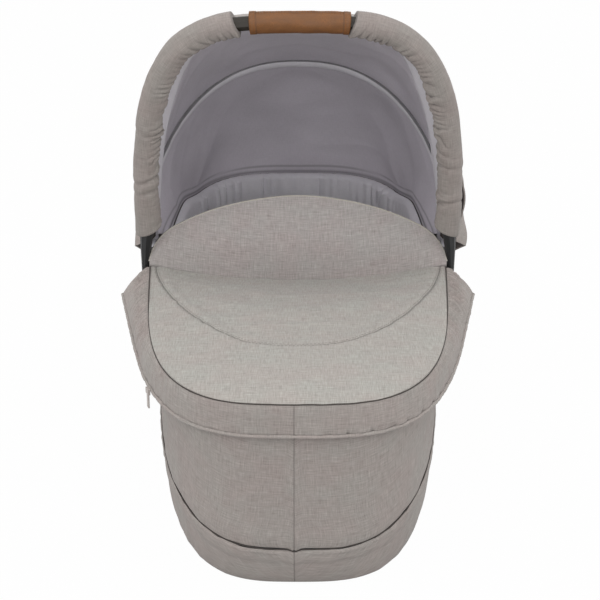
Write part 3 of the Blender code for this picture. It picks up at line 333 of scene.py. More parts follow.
def canvas(name, colour, contrast):
    """Polyester canvas, woven from melange yarn: thick and thin threads of several greys cross,
    so the eye gets a linen-like grid of short light and dark dashes and no shine."""
    made, tree, surface = blank(name)
    # Yarn is 0.6 mm; drawn 1.0 mm wide here so that a render can show it.
    weft = threads(tree, 15 * MM, 1.0 * MM, 3.0)
    warp = threads(tree, 0.95 * MM, 14 * MM, 11.0)
    slub = threads(tree, 46 * MM, 2.3 * MM, 27.0)
    slub_warp = threads(tree, 2.4 * MM, 40 * MM, 35.0)
    cloud = threads(tree, 60 * MM, 50 * MM, 41.0)
    both = weighted(tree, ((weft, 0.36), (warp, 0.36), (slub, 0.14), (slub_warp, 0.14)))
    spread = 0.115 / contrast
    pink = (1.035, 0.985, 0.985)
    grey = (0.985, 1.010, 1.000)
    weave = add_node(tree, "ShaderNodeValToRGB", {"Fac": both}, (
        (0.5 - 1.5 * spread, tuple(c * p for c, p in zip(times(colour, 0.72), pink))),
        (0.5 - 0.5 * spread, times(colour, 0.92)),
        (0.5 + 0.3 * spread, times(colour, 1.03)),
        (0.5 + 1.5 * spread, tuple(c * g for c, g in zip(times(colour, 1.26), grey)))))
    mood = add_node(tree, "ShaderNodeValToRGB", {"Fac": cloud}, ((0.36, grey), (0.64, (1.0, 0.972, 0.968))))
    tinted = add_node(tree, "ShaderNodeMix", {"Factor": 1.0, "A": weave.outputs["Color"], "B": mood.outputs["Color"]},
                      data_type="RGBA", blend_type="MULTIPLY")
    height = add_node(tree, "ShaderNodeMath", {0: weft, 1: warp}, operation="ADD").outputs["Value"]
    coat(tree, surface, darken_seams_and_shade(tree, tinted.outputs["Result"], colour, 0.34), height, (0.35, 0.0005),
         both, (0.3, 0.7, 0.98, 0.84), {"Sheen Weight": 0.10, "Sheen Roughness": 0.5, "Specular IOR Level": 0.25})
    return made


def fine_cloth(name, colour, step, contrast, rough, sheen=0.12):
    """Fine plain-woven lining or knitted jersey: threads too thin to see one by one, with a faint even grain,
    slow changes of tone and a soft nap."""
    made, tree, surface = blank(name)
    weft = threads(tree, 7 * step, step, 2.0)
    warp = threads(tree, step, 7 * step, 8.0)
    cloud = threads(tree, 120 * MM, 80 * MM, 5.0, 1.0)
    both = weighted(tree, ((weft, 0.25), (warp, 0.25), (cloud, 0.5)))
    tone = add_node(tree, "ShaderNodeValToRGB", {"Fac": both}, (
        (0.5 - 0.15, times(colour, 1.0 - contrast)), (0.5 + 0.15, times(colour, 1.0 + contrast))))
    coat(tree, surface, darken_seams_and_shade(tree, tone.outputs["Color"], colour, 0.28), weft, (0.2, 0.0003),
         both, (0.35, 0.65, rough + 0.05, rough - 0.05), {"Sheen Weight": sheen, "Specular IOR Level": 0.25})
    return made


def cord_cloth(name, colour, pitch):
    """Woven binding tape round a cord: fine ribs across it, matt."""
    made, tree, surface = blank(name)
    place = add_node(tree, "ShaderNodeUVMap", uv_map="Cloth").outputs["UV"]
    ribs = add_node(tree, "ShaderNodeTexWave", {"Vector": place, "Scale": 0.314 / pitch, "Distortion": 0.6,
                                                "Detail": 1.0}, wave_type="BANDS", bands_direction="X").outputs["Fac"]
    tone = add_node(tree, "ShaderNodeValToRGB", {"Fac": ribs}, ((0.2, times(colour, 0.78)), (0.8, times(colour, 1.18))))
    coat(tree, surface, tone.outputs["Color"], ribs, (0.4, 0.0003), ribs, (0.0, 1.0, 0.92, 0.8),
         {"Specular IOR Level": 0.25})
    return made


def moulded(name, colour, rough, size=0.8 * MM, depth=0.00008, wear=0.10):
    """Nylon or polypropylene, injection moulded in a spark-grained tool: an even satin with a fine pebble,
    faintly cloudy, a little paler where hands have rubbed it."""
    made, tree, surface = blank(name)
    pebble = pebbles(tree, size, 2.0, 1.0)
    cloud = pebbles(tree, 26 * MM, 2.0, 7.0)
    tone = add_node(tree, "ShaderNodeValToRGB", {"Fac": cloud}, (
        (0.3, times(colour, 1.0 - wear)), (0.7, times(colour, 1.0 + 2.0 * wear))))
    coat(tree, surface, tone.outputs["Color"], pebble, (0.5, depth), cloud, (0.3, 0.7, rough + 0.06, rough - 0.05))
    return made


def drawn_metal(name, colour, rough, metallic=1.0, stretch=(1.0, 1.0, 1.0)):
    """Drawn and pressed metal: fine scratches along the draw spread the shine."""
    made, tree, surface = blank(name)
    marks = pebbles(tree, 1.2 * MM, 3.0, 2.0, stretch)
    tone = add_node(tree, "ShaderNodeValToRGB", {"Fac": marks}, (
        (0.3, times(colour, 0.86)), (0.7, times(colour, 1.08))))
    coat(tree, surface, tone.outputs["Color"], marks, (0.15, 0.00005), marks, (0.3, 0.7, rough - 0.06, rough + 0.08),
         {"Metallic": metallic})
    return made


def leather(name, colour):
    """Coated split leather, embossed and glued round the grip: small pebbled cells with darker creases,
    a soft waxy shine and handling wear that darkens it in patches."""
    made, tree, surface = blank(name)
    place = add_node(tree, "ShaderNodeTexCoord").outputs["Object"]
    cells = add_node(tree, "ShaderNodeTexVoronoi", {"Vector": place, "Scale": 1.0 / (1.4 * MM), "Randomness": 1.0},
                     feature="DISTANCE_TO_EDGE")
    crease = add_node(tree, "ShaderNodeMapRange", {"Value": cells.outputs["Distance"], "From Min": 0.0,
                                                   "From Max": 0.18, "To Min": 0.0, "To Max": 1.0}).outputs["Result"]
    patch = pebbles(tree, 14 * MM, 4.0, 4.0)
    streak = pebbles(tree, 5 * MM, 3.0, 9.0, (0.25, 1.0, 1.0))
    mood = weighted(tree, ((patch, 0.6), (streak, 0.4)))
    tone = add_node(tree, "ShaderNodeValToRGB", {"Fac": mood}, (
        (0.32, times(colour, 0.74)), (0.52, tuple(colour)), (0.70, times(colour, 1.28))))
    shade = add_node(tree, "ShaderNodeMix", {"Factor": crease, "A": (*times(colour, 0.66), 1.0),
                                             "B": tone.outputs["Color"]}, data_type="RGBA").outputs["Result"]
    coat(tree, surface, darken_seams_and_shade(tree, shade, colour, 0.35), crease, (0.35, 0.00015), mood, (0.3, 0.7, 0.46, 0.62))
    return made


LOOKS = {}


def looks():
    """Every finish, made once."""
    if LOOKS:
        return LOOKS
    c = colours()
    # One canvas in four tones and weave contrasts: the apron's and flap's lighter copies are painted light, the
    # sleeves' darker copy is painted shade.
    LOOKS["wall"] = canvas("woven_melange_canvas_wall", c.canvas_wall, 1.35)
    LOOKS["top"] = canvas("woven_melange_canvas_apron_lit", c.canvas_top_lit, 1.45)
    LOOKS["sleeve"] = canvas("woven_melange_canvas_sleeve_shaded", c.canvas_sleeve_shaded, 1.15)
    LOOKS["flap"] = canvas("woven_melange_canvas_flap_lit", c.canvas_flap_lit, 1.40)
    LOOKS["piping"] = cord_cloth("woven_piping_dark", c.piping, 1.5 * MM)
    LOOKS["thread"] = cord_cloth("twisted_seam_thread", times(c.canvas_top_lit, 0.62), 0.8 * MM)
    LOOKS["tan_thread"] = cord_cloth("twisted_tan_thread", times(c.leather, 1.5), 0.8 * MM)
    LOOKS["binding"] = cord_cloth("woven_edge_binding", c.binding, 1.6 * MM)
    LOOKS["lining"] = fine_cloth("woven_hood_lining", c.lining, 1.3 * MM, 0.10, 0.8)
    LOOKS["tape"] = fine_cloth("woven_lining_tape", c.tape, 1.2 * MM, 0.08, 0.8)
    LOOKS["jersey"] = fine_cloth("knitted_jersey_padding", c.jersey, 1.5 * MM, 0.08, 0.9, 0.25)
    LOOKS["mattress"] = fine_cloth("knitted_jersey_mattress", c.mattress, 1.5 * MM, 0.06, 0.9, 0.25)
    LOOKS["leather"] = leather("embossed_tan_leather", c.leather)
    LOOKS["tube"] = drawn_metal("anodised_aluminium_dark", c.tube, 0.42, 0.35, (0.15, 1.0, 1.0))
    LOOKS["rim"] = drawn_metal("drawn_aluminium", c.steel, 0.38)
    LOOKS["steel"] = drawn_metal("drawn_spring_steel", c.steel, 0.32)
    LOOKS["black"] = moulded("moulded_nylon_black", c.black, 0.42)
    LOOKS["grey"] = moulded("moulded_nylon_grey", c.grey, 0.45)
    LOOKS["pale"] = moulded("painted_zinc_zip_slider", times(c.canvas_wall, 1.25), 0.45)
    LOOKS["shell"] = moulded("moulded_polypropylene_tub", c.shell, 0.55, 1.2 * MM)
    LOOKS["board"] = moulded("pressed_fibre_board", c.board, 0.8, 2.0 * MM, 0.0001, 0.12)
    LOOKS["rubber"] = moulded("moulded_rubber_feet", c.rubber, 0.75, 1.0 * MM)
    return LOOKS


def signed_power(value, exponent):
    """A power that keeps the sign, for rounded-square curves."""
    return np.sign(value) * np.abs(value) ** exponent


def curve_in(depth, width):
    """How far a quarter-ellipse of this width has come in at a depth share of 0 to 1."""
    share = np.clip(depth, 0.0, 1.0)
    return width * (1.0 - np.sqrt(1.0 - share * share))


def hull(turn, height, out=0.0):
    """Points on the tub's outer form at turns round it and heights above the ground, pushed out sideways."""
    turn, height, out = np.broadcast_arrays(turn, height, out)
    up = height - FLOOR_HEIGHT
    side_in = curve_in(1.0 - up / SIDE_CURVE[1], SIDE_CURVE[0])
    end_in = curve_in(1.0 - up / END_CURVE[1], END_CURVE[0])
    draft = FOOT_DRAFT * np.maximum(1.0 - up / (RIM_HEIGHT - FLOOR_HEIGHT), 0.0)
    along = signed_power(np.sin(turn), CORNER_Y)
    half = TUB_HALF_LENGTH - np.sign(along) * WIDEST_Y - end_in - draft + out
    across = (TUB_HALF_WIDTH - side_in + out) * (1.0 - TAPER * np.abs(along))
    return np.stack([across * signed_power(np.cos(turn), CORNER_X), WIDEST_Y + half * along, height], axis=-1)


def lengths(points):
    """Distance run from the first point to each one."""
    steps = np.linalg.norm(np.diff(points, axis=0), axis=1)
    return np.concatenate([[0.0], np.cumsum(steps)])


def even(points, count):
    """Points the same distance apart along a run of points."""
    run = lengths(points)
    at = np.linspace(0.0, run[-1], count)
    return np.stack([np.interp(at, run, points[:, i]) for i in range(points.shape[1])], axis=1)


def ring_turns(step, seam_x):
    """Turns round the tub from its foot seam, evenly spaced along the rim, with extra ones beside the seam.

    Returns the turns, their distances from the seam along the rim and the whole way round."""
    share = np.linspace(0.0, 1.0, 2001)
    share = share * share * (3.0 - 2.0 * share)
    quarters = [-math.pi / 2.0 + (k + share[:-1]) * math.pi / 2.0 for k in range(4)]
    table = np.concatenate(quarters + [[1.5 * math.pi]])
    run = lengths(hull(table, RIM_HEIGHT))
    at = np.linspace(0.0, run[-1], int(run[-1] / step) + 1)[:-1]
    beside = np.array([0.5, 1.0, 1.8, 2.8]) * MM
    at = np.unique(np.concatenate([at, beside, run[-1] - beside]))
    return np.interp(np.mod(at + seam_x, run[-1]), run, table), at, run[-1]


def welt_line(turn):
    """Height of the low piping: level across the foot and head, rising along the sides."""
    x = TUB_HALF_WIDTH * signed_power(np.cos(turn), CORNER_X) - SEAM_X
    dip = 0.0030 * bell(x, 0.0060) * (np.sin(turn) < 0.0)
    return WELT_LOW + (WELT_HIGH - WELT_LOW) * np.abs(np.cos(turn)) ** 2.0 - dip


def wall(turn, height, out):
    """A point of the tub's cloth: the form pushed out sideways on the walls and down under the floor."""
    share = (height - FLOOR_HEIGHT) / (RIM_HEIGHT - FLOOR_HEIGHT)
    points = hull(turn, height, out)
    points[..., 2] = height - out * np.clip(1.0 - share, 0.0, 1.0)
    return points


def noise(x, y, seed):
    """Smooth value noise from -1 to 1 over two coordinates, on a fixed table of heights."""
    table = np.random.RandomState(seed).uniform(-1.0, 1.0, (64, 64))
    left = np.floor(x).astype(int)
    low = np.floor(y).astype(int)
    fx = x - left
    fy = y - low
    fx = fx * fx * fx * (fx * (fx * 6.0 - 15.0) + 10.0)
    fy = fy * fy * fy * (fy * (fy * 6.0 - 15.0) + 10.0)
    a = table[low % 64, left % 64]
    b = table[low % 64, (left + 1) % 64]
    c = table[(low + 1) % 64, left % 64]
    d = table[(low + 1) % 64, (left + 1) % 64]
    return (a * (1.0 - fx) + b * fx) * (1.0 - fy) + (c * (1.0 - fx) + d * fx) * fy


def creases(u, v, direction, length, width, seed):
    """Soft folds that run in one direction: sharp on their crests and hollow between, from -1 to 1."""
    along = u * math.cos(direction) + v * math.sin(direction)
    across = -u * math.sin(direction) + v * math.cos(direction)
    bend = 0.6 * noise(along / length, across / length, seed + 1)
    ridge = noise(along / length, across / width + bend, seed)
    fine = noise(2.3 * along / length + 5.0, 2.1 * across / width + bend, seed + 2)
    return 0.75 * (1.0 - 2.2 * np.abs(ridge)) * 0.7 + 0.3 * fine


def bell(distance, width):
    """One at no distance, falling to nothing past a width."""
    return np.exp(-(distance / width) ** 2)


def ease(value):
    """Smooth step from 0 to 1."""
    value = np.clip(value, 0.0, 1.0)
    return value * value * (3.0 - 2.0 * value)


def normals(grid, behind, wrap=False):
    """Unit normals of a grid of points that face away from the point behind it."""
    if wrap:
        across = np.roll(grid, -1, 1) - np.roll(grid, 1, 1)
    else:
        across = np.gradient(grid, axis=1)
    away = np.cross(across, np.gradient(grid, axis=0))
    away /= np.maximum(np.linalg.norm(away, axis=2, keepdims=True), 1e-12)
    return away if np.sum(away * (grid - np.array(behind))) > 0.0 else -away


def measured(grid, wrap=False):
    """Distances across and down the cloth at every point, in metres, from its middle."""
    if wrap:
        grid = np.concatenate([grid, grid[:, :1]], axis=1)
    across = np.linalg.norm(np.diff(grid, axis=1), axis=2)
    across = np.concatenate([np.zeros((grid.shape[0], 1)), np.cumsum(across, axis=1)], axis=1)
    down = np.linalg.norm(np.diff(grid, axis=0), axis=2)
    down = np.concatenate([np.zeros((1, grid.shape[1])), np.cumsum(down, axis=0)], axis=0)
    middle = grid.shape[1] // 2
    return np.stack([across - across[:, middle:middle + 1], down], axis=-1)


def quads(rows, columns, wrap_columns, wrap_rows=False):
    """Corners of a grid's faces, as rows and columns that may run one past the end where it wraps."""
    r, c = np.meshgrid(np.arange(rows if wrap_rows else rows - 1),
                       np.arange(columns if wrap_columns else columns - 1), indexing="ij")
    r = r.ravel()
    c = c.ravel()
    return np.stack([r, r, r + 1, r + 1], axis=1), np.stack([c, c + 1, c + 1, c], axis=1)


def finish_mesh(name, points, faces, maps, lines, finishes, which, sharp=60.0):
    """A mesh object from points, faces, cloth coordinates for each face corner, marks of seams and painted shade, and
    finishes.
    """
    mesh = bpy.data.meshes.new(name)
    mesh.from_pydata(points.tolist(), [], faces)
    layer = mesh.uv_layers.new(name="Cloth")
    layer.data.foreach_set("uv", np.concatenate([np.asarray(m).ravel() for m in maps]).astype(np.float32))
    mark = mesh.attributes.new("Line", "FLOAT", "POINT")
    mark.data.foreach_set("value", lines.astype(np.float32))
    for finish in finishes:
        mesh.materials.append(finish)
    mesh.polygons.foreach_set("material_index", np.asarray(which, dtype=np.int32))
    mesh.polygons.foreach_set("use_smooth", np.ones(len(faces), dtype=bool))
    mesh.update()
    tool = bmesh.new()
    tool.from_mesh(mesh)
    bmesh.ops.remove_doubles(tool, verts=tool.verts, dist=0.00002)
    bmesh.ops.recalc_face_normals(tool, faces=tool.faces)
    tool.to_mesh(mesh)
    tool.free()
    mesh.set_sharp_from_angle(angle=math.radians(sharp))
    made = bpy.data.objects.new(name, mesh)
    bpy.context.scene.collection.objects.link(made)
    return made


def skin(name, grid, thickness, behind, finishes, line=None, which=None, wrap=False, inner=None, last_edge=True,
         chart=None):
    """A sheet of cloth with its thickness, from a grid of points on its outer face."""
    rows, columns = grid.shape[:2]
    if inner is None:
        inner = grid - normals(grid, behind, wrap) * thickness
    count = rows * columns
    points = np.concatenate([grid.reshape(-1, 3), inner.reshape(-1, 3)])
    chart = measured(grid, wrap) if chart is None else chart
    r, c = quads(rows, columns, wrap)
    face = r * columns + c % columns
    chart_of = chart[r, c]
    faces = [face, face[:, ::-1] + count]
    maps = [chart_of, chart_of[:, ::-1]]
    which = np.zeros((rows, columns), dtype=int) if which is None else which
    kinds = [which[r[:, 0], c[:, 0]]] * 2
    for row in (0, rows - 1) if last_edge else (0,):
        at = np.arange(columns if wrap else columns - 1)
        a = row * columns + at
        b = row * columns + (at + 1) % columns
        faces.append(np.stack([a, b, b + count, a + count], axis=1))
        edge = np.stack([chart[row, at], chart[row, at + 1], chart[row, at + 1], chart[row, at]], axis=1)
        edge[:, 2:, 1] += thickness
        maps.append(edge)
        kinds.append(which[min(row, rows - 2), at])
    if not wrap:
        for column in (0, columns - 1):
            at = np.arange(rows - 1)
            a = at * columns + column
            b = (at + 1) * columns + column
            faces.append(np.stack([a, b, b + count, a + count], axis=1))
            near, far = chart[at, column], chart[at + 1, column]
            edge = np.stack([near, far, far, near], axis=1)
            edge[:, 2:, 0] += thickness
            maps.append(edge)
            kinds.append(which[at, min(column, columns - 2)])
    marks = np.zeros(2 * count)
    if line is not None:
        marks[:count] = line.ravel()
    return finish_mesh(name, points, np.concatenate(faces).tolist(), maps, marks, finishes, np.concatenate(kinds))


def tube_grid(path, radius, reference, sides, closed=False):
    """Points round a path: radius is a number, or a function of the distance share and the angle round it.

    The angle is zero on the side towards the reference crossed with the path, and a quarter turn on towards it."""
    if closed:
        tangent = np.roll(path, -1, 0) - np.roll(path, 1, 0)
    else:
        tangent = np.gradient(path, axis=0)
    tangent /= np.linalg.norm(tangent, axis=1, keepdims=True)
    side = np.cross(tangent, np.broadcast_to(reference, tangent.shape))
    side /= np.linalg.norm(side, axis=1, keepdims=True)
    up = np.cross(side, tangent)
    angle = np.linspace(0.0, 2.0 * math.pi, sides, endpoint=False)
    run = lengths(path)
    reach = radius(run[:, None], angle[None, :]) if callable(radius) else np.full((len(path), sides), radius)
    return path[:, None, :] + reach[..., None] * (np.cos(angle)[None, :, None] * side[:, None, :]
                                                  + np.sin(angle)[None, :, None] * up[:, None, :])


def wrapped(name, grid, run, finishes, line=None, closed=False, sharp=60.0):
    """A round piece from rings of points at distances along it, its ends closed unless it runs all the way round."""
    rows, columns = grid.shape[:2]
    girth = float(np.linalg.norm(np.roll(grid, -1, 1) - grid, axis=2).sum(axis=1).mean())
    r, c = quads(rows, columns, True, closed)
    faces = ((r % rows) * columns + c % columns).tolist()
    maps = [np.stack([run[r], c * girth / columns], axis=-1)]
    for row in () if closed else (0, rows - 1):
        faces.append([row * columns + k for k in range(columns)])
        maps.append(np.stack([np.full(columns, run[row]), np.arange(columns) * girth / columns], axis=-1))
    marks = np.zeros(rows * columns) if line is None else line.ravel()
    return finish_mesh(name, grid.reshape(-1, 3), faces, maps, marks, finishes, np.zeros(len(faces)), sharp)


def tube(name, path, radius, reference, sides, finishes, closed=False):
    """A round piece along a path."""
    run = lengths(np.concatenate([path, path[:1]]) if closed else path)
    return wrapped(name, tube_grid(path, radius, reference, sides, closed), run, finishes, closed=closed)


def stitches(name, path, outward, length, gap, radius, look):
    """A row of topstitches that lie on the cloth along a path: each a short thread that dips in at both ends."""
    run = lengths(path)
    starts = np.arange(gap, run[-1] - length - gap, length + gap)
    share = np.linspace(0.0, 1.0, 4)
    points = []
    faces = []
    maps = []
    for start in starts:
        at = np.stack([np.interp(start + length * share, run, path[:, i]) for i in range(3)], axis=1)
        off = np.stack([np.interp(start + length * share, run, outward[:, i]) for i in range(3)], axis=1)
        tangent = at[-1] - at[0]
        tangent /= np.linalg.norm(tangent)
        lift = radius * np.sin(math.pi * share)[:, None] - 0.35 * radius
        side = np.cross(tangent, off)
        centre = at + off * lift
        angle = np.linspace(0.0, 2.0 * math.pi, 5, endpoint=False)
        reach = radius * (0.55 + 0.45 * np.sin(math.pi * share))
        ring = centre[:, None, :] + reach[:, None, None] * (np.cos(angle)[None, :, None] * side[:, None, :]
                                                            + np.sin(angle)[None, :, None] * off[:, None, :])
        base = len(points) * 20
        points.append(ring.reshape(-1, 3))
        r, c = quads(4, 5, True)
        block = base + r * 5 + c % 5
        faces += block.tolist() + [[base + k for k in range(5)], [base + 15 + k for k in range(5)]]
        maps.append(np.stack([r * length / 3.0, c * radius], axis=-1))
        maps.append(np.zeros((10, 2)))
    points = np.concatenate(points)
    return finish_mesh(name, points, faces, maps, np.zeros(len(points)), [look], np.zeros(len(faces)), 80.0)


def tub_columns():
    """Turns round the tub, the distance of each from the foot seam the near way, and the way run from it."""
    turns, at, girth = ring_turns(sizes().step, SEAM_X)
    return turns, np.minimum(at, girth - at), at


def by_hub(points):
    """One beside the hubs and adapters, where the cloth lies flat under them, and nothing elsewhere."""
    near = 1.0 - ease((np.abs(points[..., 1] - PIVOT_Y) - 0.035) / 0.030)
    return near * ease((np.abs(points[..., 0]) - 0.12) / 0.03) * ease((points[..., 2] - 0.09) / 0.02)


def wall_cloth():
    """The tub's outer cloth, from the low piping over the rim, with its foot seam and the pull of that seam."""
    s = sizes()
    turns, from_seam, at = tub_columns()
    line = welt_line(turns)
    share = np.linspace(0.0, 1.0, 44)[:, None]
    height = line + 0.0008 + (RIM_HEIGHT - line - 0.0008) * share
    fade = 1.0 - bell(from_seam, 0.020)
    folds = creases(at, height, 1.45, 0.130, 0.034, 21)
    swell = noise(at / 0.120, height / 0.100, 31)
    low = bell(height - line, 0.030)
    corner = bell(np.abs(np.abs(np.sin(turns)) - 0.80), 0.14)
    push = s.wrinkle * (0.45 * swell + (0.25 + 0.5 * low + 0.5 * corner) * folds) * fade
    push += 0.0005 * np.sin(height / 0.0011 + 2.0 * noise(height / 0.02, height / 0.02, 5)) * bell(from_seam, 0.008)
    push += 0.0010 * bell(height - line - 0.016, 0.012)
    push -= 0.5 * s.seam * (bell(from_seam, 0.0011) + bell(height - line, 0.0022))
    base = wall(turns, height, CLOTH_GAP + s.cloth)
    push = np.where(push > 0.0, push * (1.0 - by_hub(base)), push * (1.0 - 0.6 * by_hub(base)))
    push *= 1.0 - ease((share - 0.90) / 0.10)
    grid = wall(turns, height, CLOTH_GAP + s.cloth + push)
    turn_radius = 0.0030
    rounding = np.radians([20.0, 45.0, 70.0, 90.0])
    profile = [(CLOTH_GAP + s.cloth, COVER_TOP - turn_radius)]
    for a in rounding:
        profile.append((CLOTH_GAP + s.cloth - turn_radius * (1.0 - math.cos(a)),
                        COVER_TOP - turn_radius * (1.0 - math.sin(a))))
    profile += [(-0.0040, COVER_TOP), (-0.0100, COVER_TOP)]
    over = []
    for out, z in profile:
        ring = hull(turns, RIM_HEIGHT, out)
        ring[:, 2] = z
        over.append(ring)
    grid = np.concatenate([grid, np.array(over)])
    mark = np.concatenate([bell(from_seam, 0.0006)[None, :] * np.ones((44, 1)), np.zeros((len(over), len(turns)))])
    piece = skin("wall_cloth", grid, s.cloth * 0.8, (0.0, 0.0, 0.1), [looks()["wall"]], 0.62 * mark, wrap=True)
    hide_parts("body_cover")
    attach(piece, "tub")
    return piece


def base_cloth():
    """The cloth below the low piping: a soft padded lip, then the curve under the floor, turned in at its edge."""
    s = sizes()
    turns, from_seam, at = tub_columns()
    line = welt_line(turns)
    share = np.linspace(0.0, 1.0, 38)[:, None]
    height = FLOOR_HEIGHT + (line - 0.0008 - FLOOR_HEIGHT) * (1.0 - share) ** 1.5
    below = line - height
    fade = 1.0 - bell(from_seam, 0.016)
    push = 0.0016 * np.sin(math.pi * np.clip(below / 0.020, 0.0, 1.0)) ** 0.8
    push = push + 0.0012 * bell(below - 0.0034, 0.0022) * fade
    push += s.wrinkle * 0.8 * creases(at, height, 1.2, 0.090, 0.030, 41) * fade * ease(below / 0.01)
    push += 0.0006 * noise(at / 0.011, 0.0, 43) * bell(below, 0.010) * fade
    push -= 0.5 * s.seam * bell(from_seam, 0.0011)
    push *= 1.0 - ease((share - 0.80) / 0.20)
    grid = wall(turns, height, CLOTH_GAP + s.cloth + push)
    under = []
    for k in range(1, 9):
        shrink = 0.026 * k / 8.0
        ring = grid[-1].copy()
        ring[:, 0] *= 1.0 - shrink / (TUB_HALF_WIDTH - SIDE_CURVE[0])
        ring[:, 1] *= 1.0 - shrink / TUB_HALF_LENGTH
        ring[:, 2] += 0.0002 * noise(at / 0.008, k / 3.0, 47) * ease(k / 4.0)
        under.append(ring)
    mark = np.concatenate([bell(from_seam, 0.0006)[None, :] * np.ones((38, 1)), np.zeros((8, len(turns)))])
    grid = np.concatenate([grid, np.array(under)])
    piece = skin("base_cloth", grid, s.cloth * 0.8, (0.0, 0.0, 0.1), [looks()["wall"]], 0.62 * mark, wrap=True)
    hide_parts("base_cover")
    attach(piece, "tub")
    return piece


def low_piping():
    """The sewn piping low round the body, pinched where the foot seam crosses it."""
    s = sizes()
    turns, _, girth = ring_turns(s.step, SEAM_X)
    path = wall(turns, welt_line(turns), CLOTH_GAP + s.cloth + 0.3 * s.piping)

    def radius(run, _):
        beside = np.minimum(run, girth - run)
        return s.piping * (0.90 - 0.30 * bell(beside, 0.0018))

    piece = tube("low_piping", path, radius, (0.0, 0.0, 1.0), 10, [looks()["piping"]], closed=True)
    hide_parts("body_welt")
    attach(piece, "tub")
    return piece


def wall_padding():
    """The padded jersey lining of the walls: puffed out, and gathered along its top round the head end."""
    s = sizes()
    turns, at, _ = ring_turns(s.step, 0.0)
    head = np.clip(np.sin(turns), 0.0, 1.0)
    corner = bell(np.abs(head - 0.72), 0.30) * (np.sin(turns) > 0.0)
    outer = -SHELL_WALL - CLOTH_GAP
    rows = 60
    share = np.linspace(0.0, 1.0, rows)[:, None]
    height = PADDING_LOW + (COVER_TOP - 0.0030 - PADDING_LOW) * share
    x, y, _ = hull(turns, RIM_HEIGHT).T
    rise = SIDE_RISE * ease((np.abs(x) - 0.085) / 0.070) * ease((0.32 - y) / 0.10)
    rise = rise * ease((y - PIVOT_Y - 0.020) / 0.020)
    hood = ease((y - PIVOT_Y) / 0.03)
    height = height + rise * ease((share - 0.6) / 0.4)
    step = 0.0150
    phase = at / step * math.pi + 2.0 * noise(at / 0.05, 0.0, 61) + 1.2 * (1.0 - share)
    pleat = (1.0 - 2.0 * np.abs(np.sin(phase)) ** 1.1) * (0.6 + 0.8 * noise(at / 0.03, 0.0, 67))
    fork = 1.0 - 2.0 * np.abs(np.sin(0.5 * phase + 0.8)) ** 0.8
    top = ease((share - 0.45) / 0.5)
    gather = (0.0005 + 0.0040 * corner + 0.0003 * head) * (pleat * top + 0.6 * fork * ease(share / 0.6) * (1.0 - top))
    puff = 0.0040 * np.sin(math.pi * share) ** 0.7 + 0.0012 * noise(at / 0.06, height / 0.05, 63)
    tuck = LINER_TUCK * ease((share - 0.75) / 0.2) * (1.0 - 0.55 * hood)
    reach = outer - s.liner * 0.75 - puff + gather * (np.sin(turns) > -0.2) - tuck
    grid = hull(turns, np.minimum(height, RIM_HEIGHT), reach)
    grid[..., 2] = height
    rounding = []
    over = -0.0046
    for a in np.radians([22.5, 45.0, 67.5, 90.0]):
        start = reach[-1]
        plain = hull(turns, RIM_HEIGHT, start + 0.0045 * (1.0 - math.cos(a)))
        wide = hull(turns, RIM_HEIGHT, start + (over - start) * (1.0 - math.cos(a)))
        ring = plain + (wide - plain) * hood[:, None]
        ring[:, 2] = COVER_TOP - 0.0030 + rise + (0.0034 + 0.0036 * hood) * math.sin(a) + 0.0004 * pleat[-1] * corner
        rounding.append(ring)
    grid = np.concatenate([grid, np.array(rounding)])
    back = hull(turns, np.minimum(np.concatenate([height, height[-1:] * np.ones((4, 1))]), RIM_HEIGHT),
                np.concatenate([np.full((rows, len(turns)), outer) - tuck, np.tile(outer - tuck[-1:], (4, 1))]))
    back[..., 2] = np.minimum(grid[..., 2], COVER_TOP + rise - 0.0008)
    # Painted shade: the valleys of the top pleats at the head corners are darkened.
    shade = 0.30 * ease((-0.35 - pleat) / 0.5) * top * corner
    shade = np.concatenate([shade, np.zeros((4, len(turns)))])
    piece = skin("wall_padding", grid, 0.0, (0.0, 0.0, 0.1), [looks()["jersey"]], shade, wrap=True, inner=back)
    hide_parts("wall_liner")
    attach(piece, "tub")
    return piece


def swell(name, source, voxel, pressure, cap, frames):
    """A cushion from a CAD solid: remeshed, blown up a little by a cloth simulation, and its movement capped."""
    mesh = source.data.copy()
    made = bpy.data.objects.new(name, mesh)
    bpy.context.scene.collection.objects.link(made)
    bpy.ops.object.select_all(action="DESELECT")
    bpy.context.view_layer.objects.active = made
    made.select_set(True)
    remesh = made.modifiers.new("remesh", "REMESH")
    remesh.mode = "VOXEL"
    remesh.voxel_size = voxel
    bpy.ops.object.modifier_apply(modifier=remesh.name)
    before = np.array([v.co for v in made.data.vertices])
    cloth = made.modifiers.new("cloth", "CLOTH")
    cloth.settings.use_pressure = True
    cloth.settings.uniform_pressure_force = pressure
    cloth.settings.effector_weights.gravity = 0.0
    cloth.point_cache.frame_start = 1
    cloth.point_cache.frame_end = frames
    for frame_number in range(1, frames + 1):
        bpy.context.scene.frame_set(frame_number)
    bpy.ops.object.modifier_apply(modifier=cloth.name)
    after = np.array([v.co for v in made.data.vertices])
    move = after - before
    far = np.linalg.norm(move, axis=1, keepdims=True)
    move *= np.minimum(1.0, cap / np.maximum(far, 1e-9))
    move[:, 2] = np.maximum(move[:, 2], 0.0)
    made.data.vertices.foreach_set("co", (before + move).ravel())
    bpy.context.scene.frame_set(1)
    rounder = made.modifiers.new("rounder", "SUBSURF")
    rounder.levels = 1
    bpy.ops.object.modifier_apply(modifier=rounder.name)
    made.data.update()
    return made


